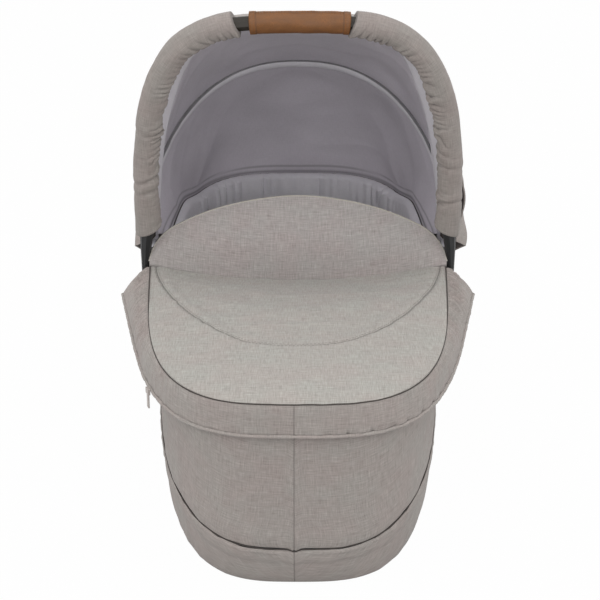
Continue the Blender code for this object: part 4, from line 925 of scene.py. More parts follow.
def mattress():
    """The mattress: a jersey cover over foam, swollen between its edges."""
    piece = swell("mattress_pad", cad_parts["mattress"], 0.007, 3.0, 0.004, 20)
    count = len(piece.data.vertices)
    points = np.zeros(count * 3)
    piece.data.vertices.foreach_get("co", points)
    points = points.reshape(-1, 3)
    top = ease((points[:, 2] - 0.03) / 0.02)
    points[:, 2] += 0.0012 * top * noise(points[:, 0] / 0.05, points[:, 1] / 0.07, 71)
    piece.data.vertices.foreach_set("co", points.ravel())
    layer = piece.data.uv_layers.get("Cloth") or piece.data.uv_layers.new(name="Cloth")
    corners = np.zeros(len(piece.data.loops), dtype=np.int32)
    piece.data.loops.foreach_get("vertex_index", corners)
    flat = np.stack([points[:, 0], points[:, 1] + points[:, 2]], axis=1)[corners]
    layer.data.foreach_set("uv", flat.ravel().astype(np.float32))
    piece.data.attributes.new("Line", "FLOAT", "POINT")
    piece.data.polygons.foreach_set("use_smooth", np.ones(len(piece.data.polygons), dtype=bool))
    piece.data.polygons.foreach_set("material_index", np.zeros(len(piece.data.polygons), dtype=np.int32))
    piece.data.materials.clear()
    piece.data.materials.append(looks()["mattress"])
    piece.data.update()
    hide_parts("mattress")
    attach(piece, "tub")
    return piece


def apron_edge(count):
    """The apron's plan edge, from its left back corner round the foot to the right one."""
    reach = APRON_FOOT + WIDEST_Y
    start = math.asin(((WIDEST_Y - APRON_BACK_Y) / reach) ** (1.0 / CORNER_Y))
    turn = math.pi + start + (math.pi - 2.0 * start) * np.linspace(0.0, 1.0, 2401)
    along = signed_power(np.sin(turn), CORNER_Y)
    across = APRON_HALF_WIDTH * (1.0 - TAPER * np.abs(along))
    points = np.stack([across * signed_power(np.cos(turn), CORNER_X), WIDEST_Y + reach * along, np.zeros_like(turn)],
                      axis=1)
    return even(points, count)


def edge_normals(points):
    """Level directions out of the apron along its edge."""
    forward = np.gradient(points, axis=0)
    away = np.stack([forward[:, 1], -forward[:, 0], np.zeros(len(forward))], axis=1)
    return away / np.linalg.norm(away, axis=1, keepdims=True)


def seam_run(count):
    """The U-shaped topstitched seam in plan, evenly spaced from its left back end to its right one."""
    x = SEAM_CORNER_X * np.sin(np.linspace(-math.pi / 2.0, math.pi / 2.0, 1201))
    share = np.abs(x) / SEAM_CORNER_X
    y = SEAM_FOOT_Y + (APRON_BACK_Y - SEAM_FOOT_Y) * (1.0 - (1.0 - share ** 2.3) ** 0.75)
    return even(np.stack([x, y, np.zeros_like(x)], axis=1), count)


def apron_plane(x, y):
    """Height of the apron before its wrinkles: crowned, and sagging between its back corners."""
    share = np.minimum(np.abs(x) / SAG_HALF_WIDTH, 1.0)
    back = np.clip((y - SAG_START_Y) / (APRON_BACK_Y - SAG_START_Y), 0.0, 1.0)
    rim = np.minimum(np.abs(x) / APRON_HALF_WIDTH, 1.0)
    middle = (1.0 - rim ** 4) * (1.0 - (np.abs(y - APRON_MIDDLE_Y) / (APRON_FOOT + APRON_MIDDLE_Y)) ** 4)
    sag = APRON_SAG * (1.0 - share * share) * back * back
    return APRON_HEIGHT + APRON_CROWN * np.maximum(middle, 0.0) * (1.0 - back) - sag


def apron_face(points, seam, edge):
    """Heights of the apron with its seam and wrinkles, and how near each point is to the seam."""
    s = sizes()
    x = points[..., 0].ravel()
    y = points[..., 1].ravel()
    gap = np.hypot(x[:, None] - seam[None, :, 0], y[:, None] - seam[None, :, 1])
    place = np.argmin(gap, axis=1)
    near = gap[np.arange(len(x)), place]
    run = lengths(seam)[place]
    rim = np.hypot(x[:, None] - edge[None, :, 0], y[:, None] - edge[None, :, 1]).min(axis=1)
    free = ease(rim / 0.03)
    z = apron_plane(x, y)
    shown = 1.0 - 0.8 * bell(x, 0.055) * ease((-y - 0.2) / 0.03)
    z -= 0.8 * s.seam * bell(near, 0.0015) * shown
    z += 0.0012 * bell(near - 0.009, 0.008) * free * shown
    z -= 0.0016 * bell(near - 0.024, 0.014) * free * ease((y + 0.27) / 0.1) * ease((0.1 - np.abs(x)) / 0.1 + 0.5)
    tugs = noise(run / 0.0090, 0.0, 81) + 0.6 * noise(run / 0.0050, 3.0, 83)
    left = 0.45 + 0.55 * ease((0.02 - x) / 0.10)
    z += s.wrinkle * 0.80 * tugs * np.exp(-near / 0.014) * left * free * shown
    z += s.wrinkle * 1.10 * creases(x, y, 0.12, 0.130, 0.036, 85) * free
    z += s.wrinkle * 0.80 * creases(x, y, -0.5, 0.090, 0.024, 91) * free * ease((np.abs(x) - 0.05) / 0.08)
    z += s.wrinkle * 0.35 * creases(x, y, 0.1, 0.060, 0.009, 93) * ease((np.abs(x) - 0.12) / 0.05) * ease(rim / 0.012)
    z += s.wrinkle * 0.7 * noise(x / 0.10, y / 0.09, 95) * free
    z -= 0.0006 * bell(rim, 0.0040)
    shape = points.shape[:-1]
    return z.reshape(shape), near.reshape(shape)


def apron():
    """The apron's top: crowned canvas with the U seam, its gathers and topstitching, and soft wrinkles."""
    s = sizes()
    half = 150
    edge = apron_edge(2 * half + 1)
    away = edge_normals(edge)
    inner = edge - away * (s.piping * 0.2)
    seam = seam_run(2 * half + 1)
    band = 18
    middle = 80
    out = (np.linspace(1.0, 0.0, band + 1) ** 2)[:-1]
    inside = (1.0 - np.cos(math.pi * np.linspace(0.0, 1.0, middle + 1))) / 2.0
    rows = []
    for i in range(half + 1):
        left = inner[i][None, :] * out[:, None] + seam[i][None, :] * (1.0 - out[:, None])
        right = inner[-1 - i][None, :] * out[:, None] + seam[-1 - i][None, :] * (1.0 - out[:, None])
        centre = seam[i][None, :] * (1.0 - inside[:, None]) + seam[-1 - i][None, :] * inside[:, None]
        rows.append(np.concatenate([left, centre, right[::-1]]))
    grid = np.array(rows)
    dense = seam_run(801)
    grid[..., 2], near = apron_face(grid, dense, apron_edge(401))
    foot = 1.0 - 0.85 * bell(grid[..., 0] + 0.005, 0.062) * ease((-grid[..., 1] - 0.2) / 0.03)
    piece = skin("apron_cloth", grid, 0.0028, (0.0, -0.2, -0.5), [looks()["top"]], 0.8 * bell(near, 0.0008) * foot,
                 inner=grid - np.array([0.0, 0.0, 0.0028]), last_edge=False, chart=grid[..., :2].copy())
    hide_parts("apron_top")
    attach(piece, "tub")

    across = edge_normals(dense)
    for word, gap in (("inner", -0.0024), ("outer", 0.0024)):
        row = even(dense + across * gap, 900)
        row[:, 2] = apron_face(row[None, :], dense, edge)[0][0] + 0.0001
        up = np.tile([0.0, 0.0, 1.0], (len(row), 1))
        thread = stitches(f"apron_stitches_{word}", row, up, s.stitch * 0.8, s.stitch * 0.35, 0.00022,
                          looks()["thread"])
        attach(thread, "tub")
    cord = edge.copy()
    cord[:, 2] = APRON_HEIGHT + 0.00025 * noise(lengths(edge) / 0.016, 0.0, 97)
    piping = tube("apron_piping", cord, s.piping, (0.0, 0.0, 1.0), 10, [looks()["piping"]])
    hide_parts("apron_welt")
    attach(piping, "tub")
    return piece


def side_band():
    """The apron's side band: gathered at the shoulders, hanging over the rim, with its puckered edge and pale lip."""
    s = sizes()
    edge = apron_edge(1101)
    extra = SEAM_X + np.array([-2.4, -1.4, -1.0, -0.5, 0.0, 0.5, 1.0, 1.4, 2.4]) * MM
    run = lengths(edge)
    whole = run[-1]
    at = np.unique(np.concatenate([run, whole / 2.0 + extra]))
    edge = np.stack([np.interp(at, run, edge[:, i]) for i in range(3)], axis=1)
    away = edge_normals(edge)
    away = np.stack([np.convolve(np.pad(away[:, i], 6, mode="edge"), np.ones(13) / 13.0, "valid")
                     for i in range(3)], axis=1)
    away /= np.linalg.norm(away, axis=1, keepdims=True)
    back = 1.0 - np.clip((APRON_BACK_Y - edge[:, 1]) / (APRON_FOOT + APRON_BACK_Y), 0.0, 1.0)
    flare = BAND_FOOT_FLARE + (BAND_FLARE - BAND_FOOT_FLARE) * back ** BAND_FLARE_POWER
    rows = 34
    swing = np.linspace(0.0, math.pi / 2.0, rows)[:, None]
    drop = 1.0 - np.cos(swing)
    from_seam = np.abs(at - whole / 2.0 - SEAM_X)
    end = np.minimum(at, whole - at)
    shoulder = 1.0 - ease((end - 0.090) / 0.200)
    corner = bell(np.abs(end - 0.300), 0.060)
    amount = s.band_gather * (0.10 + 0.90 * shoulder + 0.30 * corner) * (1.0 - bell(from_seam, 0.02))
    phase = at / 0.0072 * math.pi + 2.2 * noise(at / 0.030, 0.0, 101) - 2.4 * drop
    fine = 1.0 - 2.0 * np.abs(np.sin(phase)) ** 0.7
    wide = 1.0 - 2.0 * np.abs(np.sin(0.43 * phase + 1.7 * drop + 0.7)) ** 0.8
    amount = amount * (0.75 + 0.5 * noise(at / 0.02, drop * 1.5, 107))
    gather = amount * (fine * (1.0 - ease((drop - 0.05) / 0.55)) * ease(swing / 0.25 + 0.25)
                       + 0.45 * wide * np.sin(2.0 * swing).clip(0.0) + 0.10 * wide * np.sin(swing))
    hang = s.wrinkle * (0.7 * creases(at, drop * BAND_DROP, 1.3, 0.080, 0.030, 103)
                        + 0.6 * noise(at / 0.05, drop * 1.2, 105))
    side = 0.25 + 0.75 * ease((edge[:, 0] - 0.02) / 0.04) * (1.0 - ease((edge[:, 1] + 0.33) / 0.06))
    spacing = 0.0262
    spots = np.arange(0.013, whole, spacing)
    spots = spots + 0.004 * np.random.RandomState(7).uniform(-1.0, 1.0, len(spots))
    near = np.abs(at[:, None] - spots[None, :]).min(axis=1)
    hem = ease((drop - 0.80) / 0.20)
    pucker = bell(near, 0.0017) * hem * side * (1.0 - bell(from_seam, 0.01))
    pull = 0.0007 * np.cos(at / spacing * 2.0 * math.pi) * hem * side
    push = gather + hang * ease(drop / 0.3) * ease(at / 0.02) - 0.0014 * pucker + pull
    push -= 0.5 * s.seam * bell(from_seam, 0.0011) * ease(drop / 0.1)
    sharp = back ** 4
    reach = flare * (np.sin(swing) * (1.0 - 0.55 * sharp) + 0.55 * sharp * drop)
    level = APRON_HEIGHT - s.piping - 0.0002 - BAND_DROP * drop
    grid = edge[None, :, :] + away[None, :, :] * (reach + push * np.sin(swing + 0.25).clip(0.3, 1.0))[..., None]
    grid[..., 2] = level + push * np.cos(swing) * 0.9
    fold = BAND_DROP * (1.0 - drop)
    mark = 0.62 * bell(from_seam, 0.0006) * np.ones((rows, 1)) + 0.9 * bell(fold, 0.0011) * (0.6 + 0.4 * side)
    # Painted shade: the valleys of the shoulder gathers and the puckers along the hem are darkened.
    mark = mark + 0.40 * ease((-0.30 - fine) / 0.5) * shoulder * (1.0 - ease((drop - 0.05) / 0.55)) * ease(swing / 0.2)
    mark = mark + 0.8 * bell(near, 0.0016) * bell(fold, 0.0018) * side
    piece = skin("side_band", grid, s.cloth * 0.9, (0.0, -0.15, 0.18), [looks()["wall"]], np.clip(mark, 0.0, 1.0))
    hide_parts("apron_skirt")
    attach(piece, "tub")
    low = edge + away * (flare + 0.0004 + 0.4 * push[-1])[:, None]
    low[:, 2] = APRON_HEIGHT - s.piping - BAND_DROP - s.binding + 0.0004

    def radius(run_at, _):
        beside = np.abs(run_at - spots[None, :]).min(axis=1)[:, None]
        return s.binding * (1.0 - 0.22 * bell(beside, 0.0022))

    lip = tube("band_lip", low, radius, (0.0, 0.0, 1.0), 12, [looks()["wall"]])
    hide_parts("apron_hem")
    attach(lip, "tub")
    return piece


def bow_points(count, start, stop):
    """The bow's centre line in its own plane, on its right side from a reach up to a distance from the middle."""
    turn = np.linspace(0.0, math.pi / 2.0, 3001)
    up = np.sin(turn) ** BOW_POWER
    across = (BOW_HALF_WIDTH - (BOW_HALF_WIDTH - BOW_TOP_HALF_WIDTH) * up) * np.cos(turn).clip(0.0) ** BOW_POWER
    points = np.stack([across, BOW_REACH * up, np.zeros_like(up)], axis=1)
    return even(points[(points[:, 1] >= start) & (points[:, 0] >= stop)], count)


def in_plane(points, angle):
    """Points of a plane through the hubs' axis, turned to its angle in the row frame."""
    y = points[..., 1] * math.cos(angle) - points[..., 2] * math.sin(angle)
    z = points[..., 1] * math.sin(angle) + points[..., 2] * math.cos(angle)
    return np.stack([points[..., 0], PIVOT_Y + y, PIVOT_Z + z], axis=-1)


def sleeve(side, word, stop, seed, folds):
    """One padded sleeve of the bow: fat canvas, ruched along its inner seam, with a few deep creases."""
    s = sizes()
    path = bow_points(420, ARM_REACH - 0.0110, stop)
    whole = lengths(path)[-1]

    def ruched(run, angle):
        inside = np.clip((0.60 - np.cos(angle)) / 1.60, 0.0, 1.0)
        phase = run / s.gather_step * math.pi + 3.0 * noise(run / 0.040, 0.0, seed)
        bend = ease((run - 0.085) / 0.05)
        strength = (0.20 + 0.80 * bend) * (0.70 + 0.7 * noise(run / 0.022, angle * 0.6, seed + 1)).clip(0.05, 1.5)
        drift = phase + 1.7 * np.abs(angle - math.pi) + noise(run / 0.016, angle * 1.1, seed + 3)
        return inside, drift, strength, (np.abs(np.sin(drift)) ** 0.6 - 0.6) * strength

    def shape(run, angle):
        inside, drift, strength, ruche = ruched(run, angle)
        depth = 2.7 * s.gather * ruche * inside ** 2.6
        fork = (np.abs(np.sin(0.47 * drift + 1.0)) ** 0.8 - 0.5) * strength
        depth = depth + 0.9 * s.gather * fork * inside ** 1.4 * (1.0 - 0.5 * inside ** 3.0)
        fold = creases(run + 0.02 * np.sin(angle + seed), angle * s.sleeve, 1.45, 0.050, 0.021, seed + 2)
        big = 0.7 * s.wrinkle * fold * (0.5 + 0.5 * inside)
        for place, deep, tilt, width in folds:
            away = run - place - tilt * np.cos(angle) - 0.003 * noise(angle, 0.0, seed + 9)
            reach = 0.35 + 0.65 * inside
            big = big - deep * bell(away, width) * reach + 0.55 * deep * bell(away - 2.4 * width, 1.6 * width) * reach
        soft = 0.0008 * noise(run / 0.035, angle * 1.2, seed + 5)
        seam = -0.0022 * bell(angle - math.pi, 0.12)
        low = 0.0022 * (1.0 - ease(run / 0.030)) * inside
        end = np.clip((whole - run) / 0.0016, 0.0, 1.0)
        foot = np.clip(run / 0.0040, 0.0, 1.0)
        close = np.sqrt(np.clip(1.0 - (1.0 - end) ** 2, 0.0, 1.0))
        close = close * np.sqrt(np.clip(1.0 - (1.0 - foot) ** 2, 0.0, 1.0))
        body = s.sleeve - 0.0004 + depth + big + soft + seam + low
        core = np.where(run < 0.04, 0.0130, TUBE_RADIUS + 0.0030)
        return core + (body - core) * close

    sides = 80
    grid = tube_grid(path, shape, (0.0, 0.0, 1.0), sides)
    angle = np.linspace(0.0, 2.0 * math.pi, sides, endpoint=False)
    along = np.gradient(path, axis=0)
    along /= np.linalg.norm(along, axis=1, keepdims=True)
    run = lengths(path)
    slant = -0.0042 * np.cos(angle)[None, :] * ease((run - whole + 0.030) / 0.030)[:, None]
    slant = slant - 0.0060 * np.cos(angle)[None, :] * (1.0 - ease(run / 0.030))[:, None]
    grid = grid + along[:, None, :] * slant[..., None]
    grid[..., 0] *= side
    grid = in_plane(grid, BOW_ANGLE)
    mark = 0.8 * bell(angle - math.pi, 0.07)[None, :] * np.ones((len(path), 1))
    # Painted shade: the valleys of the ruching along the inner seam are darkened; the first and last two rings are set
    # to a middle darkness.
    inside, _, _, ruche = ruched(run[:, None], angle[None, :])
    mark = np.maximum(mark, ease((-0.16 - ruche) / 0.22) * inside ** 2.5)
    mark[:2] = 0.35
    mark[-2:] = 0.35
    piece = wrapped(f"sleeve_{word}", grid, lengths(grid.mean(axis=1)), [looks()["sleeve"]], mark)
    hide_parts(f"bow_sleeve_{word}")
    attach(piece, "bow")
    return piece


def grip():
    """The leather grip: a wrapped sleeve with folded, stitched cuffs and a sewn seam along its underside."""
    s = sizes()
    half = bow_points(600, 0.2, 0.0)
    whole = np.concatenate([half * np.array([-1.0, 1.0, 1.0]), half[::-1]])
    whole = whole[np.argsort(whole[:, 0])]
    keep = (whole[:, 0] >= GRIP_MIDDLE - GRIP_HALF) & (whole[:, 0] <= GRIP_MIDDLE + GRIP_HALF)
    path = even(whole[keep], 150)
    run_all = lengths(path)[-1]

    def shape(run, angle):
        end = np.minimum(run, run_all - run)
        cuff = 1.0 - ease((end - s.cuff) / 0.0008)
        edge = np.sqrt(np.clip(1.0 - (1.0 - np.clip(end / 0.0014, 0.0, 1.0)) ** 2, 0.0, 1.0))
        swollen = 0.0003 * np.sin(math.pi * np.clip(end / run_all * 2.0, 0.0, 1.0))
        dimple = 0.0004 * noise(run / 0.018, angle * 1.4, 121) + 0.00015 * noise(run / 0.006, angle * 3.0, 123)
        pulled = bell(end - s.cuff + STITCH_FROM_FOLD, 0.0007) + bell(end - STITCH_FROM_END, 0.0007)
        seam = bell(angle - SEAM_SIDE, 0.09)
        body = s.grip + swollen + dimple + 0.0007 * cuff - 0.00030 * pulled - 0.0008 * seam
        return TUBE_RADIUS + 0.0005 + (body - TUBE_RADIUS - 0.0005) * edge

    grid = in_plane(tube_grid(path, shape, (0.0, 0.0, 1.0), GRIP_SIDES), BOW_ANGLE)
    run = lengths(path)
    end = np.minimum(run, run_all - run)
    angle = np.linspace(0.0, 2.0 * math.pi, GRIP_SIDES, endpoint=False)
    mark = (0.9 * bell(end - s.cuff - 0.0004, 0.0005))[:, None] + 0.8 * bell(angle - SEAM_SIDE, 0.06)[None, :]
    piece = wrapped("grip_leather", grid, lengths(grid.mean(axis=1)), [looks()["leather"]], np.clip(mark, 0.0, 1.0),
                    sharp=70.0)
    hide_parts("grip")
    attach(piece, "bow")
    for number, place in enumerate((STITCH_FROM_END, s.cuff - STITCH_FROM_FOLD, run_all - s.cuff + STITCH_FROM_FOLD,
                                    run_all - STITCH_FROM_END)):
        row = int(np.argmin(np.abs(run - place)))
        ring = np.concatenate([grid[row], grid[row][:1]])
        centre = grid[row].mean(axis=0)
        out = ring - centre
        out /= np.linalg.norm(out, axis=1, keepdims=True)
        thread = stitches(f"grip_stitches_{number}", ring + out * 0.0001, out, 0.0021, 0.0010, 0.00024,
                          looks()["tan_thread"])
        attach(thread, "bow")
    seam_at = int(round(SEAM_SIDE / (2.0 * math.pi) * GRIP_SIDES)) % GRIP_SIDES
    for number, step in enumerate((-2, 2)):
        ring = grid[8:-8, (seam_at + step) % GRIP_SIDES]
        out = ring - grid[8:-8].mean(axis=1)
        out /= np.linalg.norm(out, axis=1, keepdims=True)
        thread = stitches(f"grip_seam_stitches_{number}", ring + out * 0.0001, out, 0.0024, 0.0012, 0.00024,
                          looks()["tan_thread"])
        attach(thread, "bow")
    return piece


def arch_turns():
    """Turns along a hood arch, from one side to the other."""
    share = np.linspace(0.02, 0.98, ARCH_COLUMNS)
    return math.pi * share * share * (3.0 - 2.0 * share)


def bow_edge(turns, out, begin):
    """Where the hood cloth meets the back of the bow's sleeves."""
    low = math.asin((begin / BOW_REACH) ** (1.0 / BOW_POWER))
    inner = low + (math.pi / 2.0 - low) * np.minimum(turns, math.pi - turns) * 2.0 / math.pi
    up = np.sin(inner) ** BOW_POWER
    across = (BOW_HALF_WIDTH - (BOW_HALF_WIDTH - BOW_TOP_HALF_WIDTH) * up) * np.cos(inner).clip(0.0) ** BOW_POWER
    x = np.sign(np.cos(turns)) * (across + out * np.cos(inner))
    y = BOW_REACH * up + out * np.sin(inner)
    return in_plane(np.stack([x, y, np.full(len(turns), -0.0169)], axis=1), BOW_ANGLE)


def rib_edge(turns, out, shift):
    """Where the hood cloth crosses the rib, or a little before or behind it."""
    up = np.sin(turns) ** RIB_POWER
    reach = RIB_START + (RIB_REACH - RIB_START) * up
    across = (RIB_HALF_WIDTH + out) * signed_power(np.cos(turns), RIB_POWER)
    return in_plane(np.stack([across, reach + out * up, np.full(len(turns), shift)], axis=1), RIB_ANGLE)


def rim_edge(turns, out, height, drop=0.0):
    """Where the hood cloth meets the tub's rim round the head end."""
    along = (PIVOT_Y + HOOD_SIDE_START - WIDEST_Y) / (TUB_HALF_LENGTH - WIDEST_Y)
    start = math.asin(along ** (1.0 / CORNER_Y))
    table = np.linspace(start, math.pi - start, 1201)
    fine = even(hull(table, RIM_HEIGHT, out), 2001)
    at = np.linspace(0.0, 1.0, 2001)
    points = np.stack([np.interp(turns / math.pi, at, fine[:, i]) for i in range(3)], axis=1)
    points[:, 2] = height - drop * ease((0.190 - points[:, 1]) / 0.080)
    return points


def span(first, last, rows, sag):
    """Rows of points from one edge to the other round the hubs' axis, drawn in or out between them."""
    def polar(p):
        y = p[:, 1] - PIVOT_Y
        z = p[:, 2] - PIVOT_Z
        return p[:, 0], np.hypot(y, z), np.arctan2(z, y)
    xa, ra, fa = polar(first)
    xb, rb, fb = polar(last)
    share = np.linspace(0.0, 1.0, rows)[:, None]
    arch = np.sin(math.pi * share)
    x = xa + (xb - xa) * share
    top = 1.0 - 0.8 * np.minimum(np.abs(xa) / BOW_HALF_WIDTH, 1.0) ** 3
    reach = ra + (rb - ra) * share - sag * top * arch * np.minimum(ra, rb) / BOW_REACH
    x = x - np.sign(x) * 0.25 * sag * arch * np.abs(x) / BOW_HALF_WIDTH
    angle = fa + (fb - fa) * share
    return np.stack([x, PIVOT_Y + reach * np.cos(angle), PIVOT_Z + reach * np.sin(angle)], axis=-1)


def draped(grid, amount, seed, pattern):
    """Wrinkles on a hood panel, dying out at its sewn edges."""
    chart = measured(grid)
    u = chart[..., 0]
    v = chart[..., 1]
    share = v / np.maximum(v[-1:, :], 1e-6)
    free = ease(share / 0.16) * ease((1.0 - share) / 0.14)
    end = np.minimum(u - u.min(axis=1, keepdims=True), u.max(axis=1, keepdims=True) - u)
    free = free * ease(end / 0.03)
    move = np.zeros_like(u)
    for direction, length, width, weight, mirror in pattern:
        across = np.abs(u) if mirror else u
        move += weight * creases(across, v, direction, length, width, seed)
        seed += 11
    move = move * amount * free
    return grid + normals(grid, HOOD_MIDDLE) * move[..., None]


def hood_outer():
    """The hood's outer canvas: one curved sheet drawn over bow and rib, then down to the tub's rim."""
    s = sizes()
    turns = arch_turns()
    far = NEAR_RIB + s.cloth
    outer_rear = 0.0020 + 2.0 * CLOTH_GAP + HEM_EASE + s.cloth
    middle = bell(np.cos(turns), 0.45)
    front = span(bow_edge(turns, far - 0.0070 * middle, HOOD_SIDE_START), rib_edge(turns, far, 0.0002), 44, FRONT_SAG)
    front = draped(front, 1.5 * s.wrinkle, 131, OUTER_PATTERN)
    rear = span(rib_edge(turns, far, -0.0002), rim_edge(turns, outer_rear, HEM_BELOW, 0.0100), 64, -HOOD_SAG)
    rear = draped(rear, 1.5 * s.wrinkle, 161, OUTER_PATTERN)
    for grid in (front, rear):
        # The cloth behind the right sleeve stands out in two soft bulges, the lower one just above the rim
        high = grid[..., 2]
        puff = 0.0175 * bell(high - 0.330, 0.050) + 0.0130 * bell(high - 0.244, 0.026) - 0.0020
        puff = puff * ease((grid[..., 0] - 0.110) / 0.080) * ease((0.30 - grid[..., 1]) / 0.12)
        grid[..., 0] += puff * ease((high - 0.2180) / 0.050)
    made = []
    for name, grid, node, body, start, end in (
            ("hood_canvas_front", front, "hood_front", "bow", *BOW_BEND),
            ("hood_canvas_back", rear, "hood_back", "rib", *RIB_BEND)):
        mark = np.zeros(grid.shape[:2])
        mark[0 if body == "rib" else -1] = 0.6
        piece = skin(name, grid, s.cloth, HOOD_MIDDLE, [looks()["wall"]], mark)
        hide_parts(node)
        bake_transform(piece)
        made.append(piece)
    return made


def hood_lining():
    """The smooth lining under the hood: two panels with broad soft folds, a lighter tape by the bow and the rib."""
    s = sizes()
    turns = arch_turns()
    low = -NEAR_RIB - LINING_THICK
    front = span(bow_edge(turns, low, LINING_SIDE_START), rib_edge(turns, low, 0.0002), 56, FRONT_SAG)
    front = draped(front, -2.6 * s.wrinkle, 191, LINING_PATTERN)
    rear = span(rib_edge(turns, low, -0.0002), rim_edge(turns, -2.0 * LINING_THICK, LINING_EDGE), 84, -HOOD_SAG / 2.0)
    side = ease((np.abs(rear[..., 0]) - 0.085) / 0.070) * ease((0.32 - rear[..., 1]) / 0.10)
    rear[..., 2] += SIDE_RISE * side * ease((0.300 - rear[..., 2]) / 0.050)
    rear = draped(rear, -2.4 * s.wrinkle, 237, LINING_PATTERN)
    made = []
    for name, grid, node, body, start, end in (
            ("hood_lining_front", front, "lining_front", "bow", *BOW_BEND),
            ("hood_lining_back", rear, "lining_back", "rib", *RIB_BEND)):
        chart = measured(grid)
        run = chart[..., 1]
        kinds = np.zeros((len(grid) - 1, grid.shape[1] - 1), dtype=int)
        if body == "bow":
            fold = 0.030 + 0.014 * np.abs(np.cos(turns))[None, :] + 0.003 * noise(chart[..., 0] / 0.06, 0.0, 271)
            kinds[(run < fold)[1:, 1:]] = 1
            mark = 0.22 * bell(run - fold, 0.0050)
            corner = 0.10 + 0.90 * np.sin(2.0 * turns)[None, :] ** 2
            inward = 0.0170 * corner * ease(run / fold) * (1.0 - ease((run - fold) / 0.075))
            inward = inward + 0.0015 * bell(run - fold + 0.004, 0.0045)
            grid = grid - normals(grid, HOOD_MIDDLE) * inward[..., None]
        else:
            left = run[-1:] - run
            mark = 0.85 * bell(left - 0.0035, 0.0016) + 0.55 * bell(left - 0.0115, 0.0011)
            # Painted shadow: the rows along the rib are darkened where the lining meets the rib casing.
            mark = mark + 0.9 * ease((0.0030 - run) / 0.0015)
        piece = skin(name, grid, LINING_THICK, HOOD_MIDDLE, [looks()["lining"], looks()["tape"]], mark, kinds,
                     inner=grid + normals(grid, HOOD_MIDDLE) * LINING_THICK)
        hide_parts(node)
        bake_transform(piece)
        made.append(piece)
    return made


def rib_casing():
    """The tape that holds the rear rib under the lining, sewn down along both edges."""
    turns = arch_turns()
    count = 21
    width = np.linspace(0.0016, -0.0150, count)
    puff = 0.0034 * np.sin(math.pi * np.linspace(0.0, 1.0, count)) ** 0.7
    grid = np.array([rib_edge(turns, -NEAR_RIB - 0.0026 - p, w) for w, p in zip(width, puff)])
    grid = grid + normals(grid, HOOD_MIDDLE) * (0.0004 * noise(measured(grid)[..., 0] / 0.014, 0.0, 301))[..., None]
    share = np.linspace(0.0, 1.0, count)[:, None] * np.ones((1, grid.shape[1]))
    # Painted shadow: a dark line along the casing's edge by the rib, wider on the flanks; its far edge is darkened a
    # little too.
    flank = ease((np.abs(np.cos(turns)) - 0.25) / 0.5)[None, :]
    mark = ease((0.10 + 0.10 * flank - share) / 0.05) + 0.35 * (share > 0.95)
    piece = skin("rib_casing", grid, 0.0010, HOOD_MIDDLE, [looks()["jersey"]], mark,
                 inner=grid + normals(grid, HOOD_MIDDLE) * 0.0010)
    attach(piece, "rib")
    return piece


def wind_flap():
    """The raised wind flap: canvas with a soft wadding, its bound top edge and small wrinkles along its foot."""
    s = sizes()
    share = -0.9995 * np.cos(math.pi * np.linspace(0.0, 1.0, 181))
    x = FLAP_HALF_WIDTH * share
    drop = FLAP_SAG * np.maximum(1.0 - (x / SAG_HALF_WIDTH) ** 2, 0.0)
    rise = np.interp(np.abs(share), FLAP_SHAPE[0], FLAP_SHAPE[1])
    rise = np.convolve(np.pad(rise, 5, mode="edge"), np.ones(11) / 11.0, "valid")
    rise = FLAP_RISE * rise + FLAP_CORNER_RISE
    up = np.linspace(0.0, 1.0, 40)[:, None]
    lift = (rise + drop) * up - 0.0120 * (1.0 - up) ** 6
    curve = FLAP_BOW * np.sin(math.pi * up) * (1.0 - share * share)
    forward = FLAP_Y + lift * FLAP_LEAN - curve - 0.0040 * (1.0 - up) ** 6
    face = np.stack([np.broadcast_to(x, lift.shape), forward, FLAP_CORNER - drop + lift], axis=-1)
    tug = noise(x / 0.010, up * 1.5, 311) * bell(up, 0.30)
    tug = tug + 0.6 * noise(x / 0.008, up * 1.2, 313) * bell(1.0 - up, 0.16)
    waves = creases(x, lift, 0.25, 0.120, 0.040, 315) * np.sin(math.pi * up)
    calm = ease((1.0 - np.abs(share)) / 0.06)
    face[..., 1] -= (s.wrinkle * (0.30 * tug + 0.55 * waves) + 0.0010 * np.sin(math.pi * up)) * calm
    back = face + np.array([0.0, 0.0030, 0.0])
    # Painted shadow: the foot of the flap, where it tucks in behind the apron, is darkened.
    mark = 0.65 * ease((0.0022 - lift) / 0.0022)
    piece = skin("wind_flap_cloth", face, 0.003, (0.0, 0.5, 0.3), [looks()["flap"]], mark, inner=back)
    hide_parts("flap_panel")
    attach(piece, "flap")
    path = even((face[-1] + back[-1]) / 2.0, 260)
    bound = tube("wind_flap_binding", path, lambda run, _: 0.0015 + 0.0001 * noise(run / 0.01, 0.0, 317),
                 (0.0, 1.0, 0.0), 12, [looks()["binding"]])
    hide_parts("flap_hem")
    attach(bound, "flap")
    return piece


FINISHES = {
    "tub_shell": "shell", "rim_tube": "rim", "mattress_board": "board", "zip_slider": "pale",
    "foot_pad": "rubber", "hub_housing": "black", "click_ring": "steel", "adapter_screw": "steel",
    "chassis_adapter": "black", "latch_button": "grey", "latch_hook": "steel", "latch_spring": "steel",
    "bow_arm": "black", "toothed_disc": "grey", "hood_button": "grey", "hood_spring": "steel",
    "bow_tube": "tube", "rib_wire": "steel", "rib_end": "black",
}


def hard_finishes():
    """Moulded, drawn and pressed finishes for the pieces that show as the frame has them."""
    for name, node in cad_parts.items():
        for start, finish in FINISHES.items():
            if name == start or name.startswith(start + "_"):
                for slot in node.material_slots:
                    slot.material = looks()[finish]
                if not node.material_slots:
                    raise RuntimeError(f"{name} has no material slot")


def brightest(tree, node, names):
    """The highest of several outputs of a node."""
    value = node.outputs[names[0]]
    for name in names[1:]:
        higher = add_node(tree, "ShaderNodeMath", {0: value, 1: node.outputs[name]}, operation="MAXIMUM")
        value = higher.outputs["Value"]
    return value


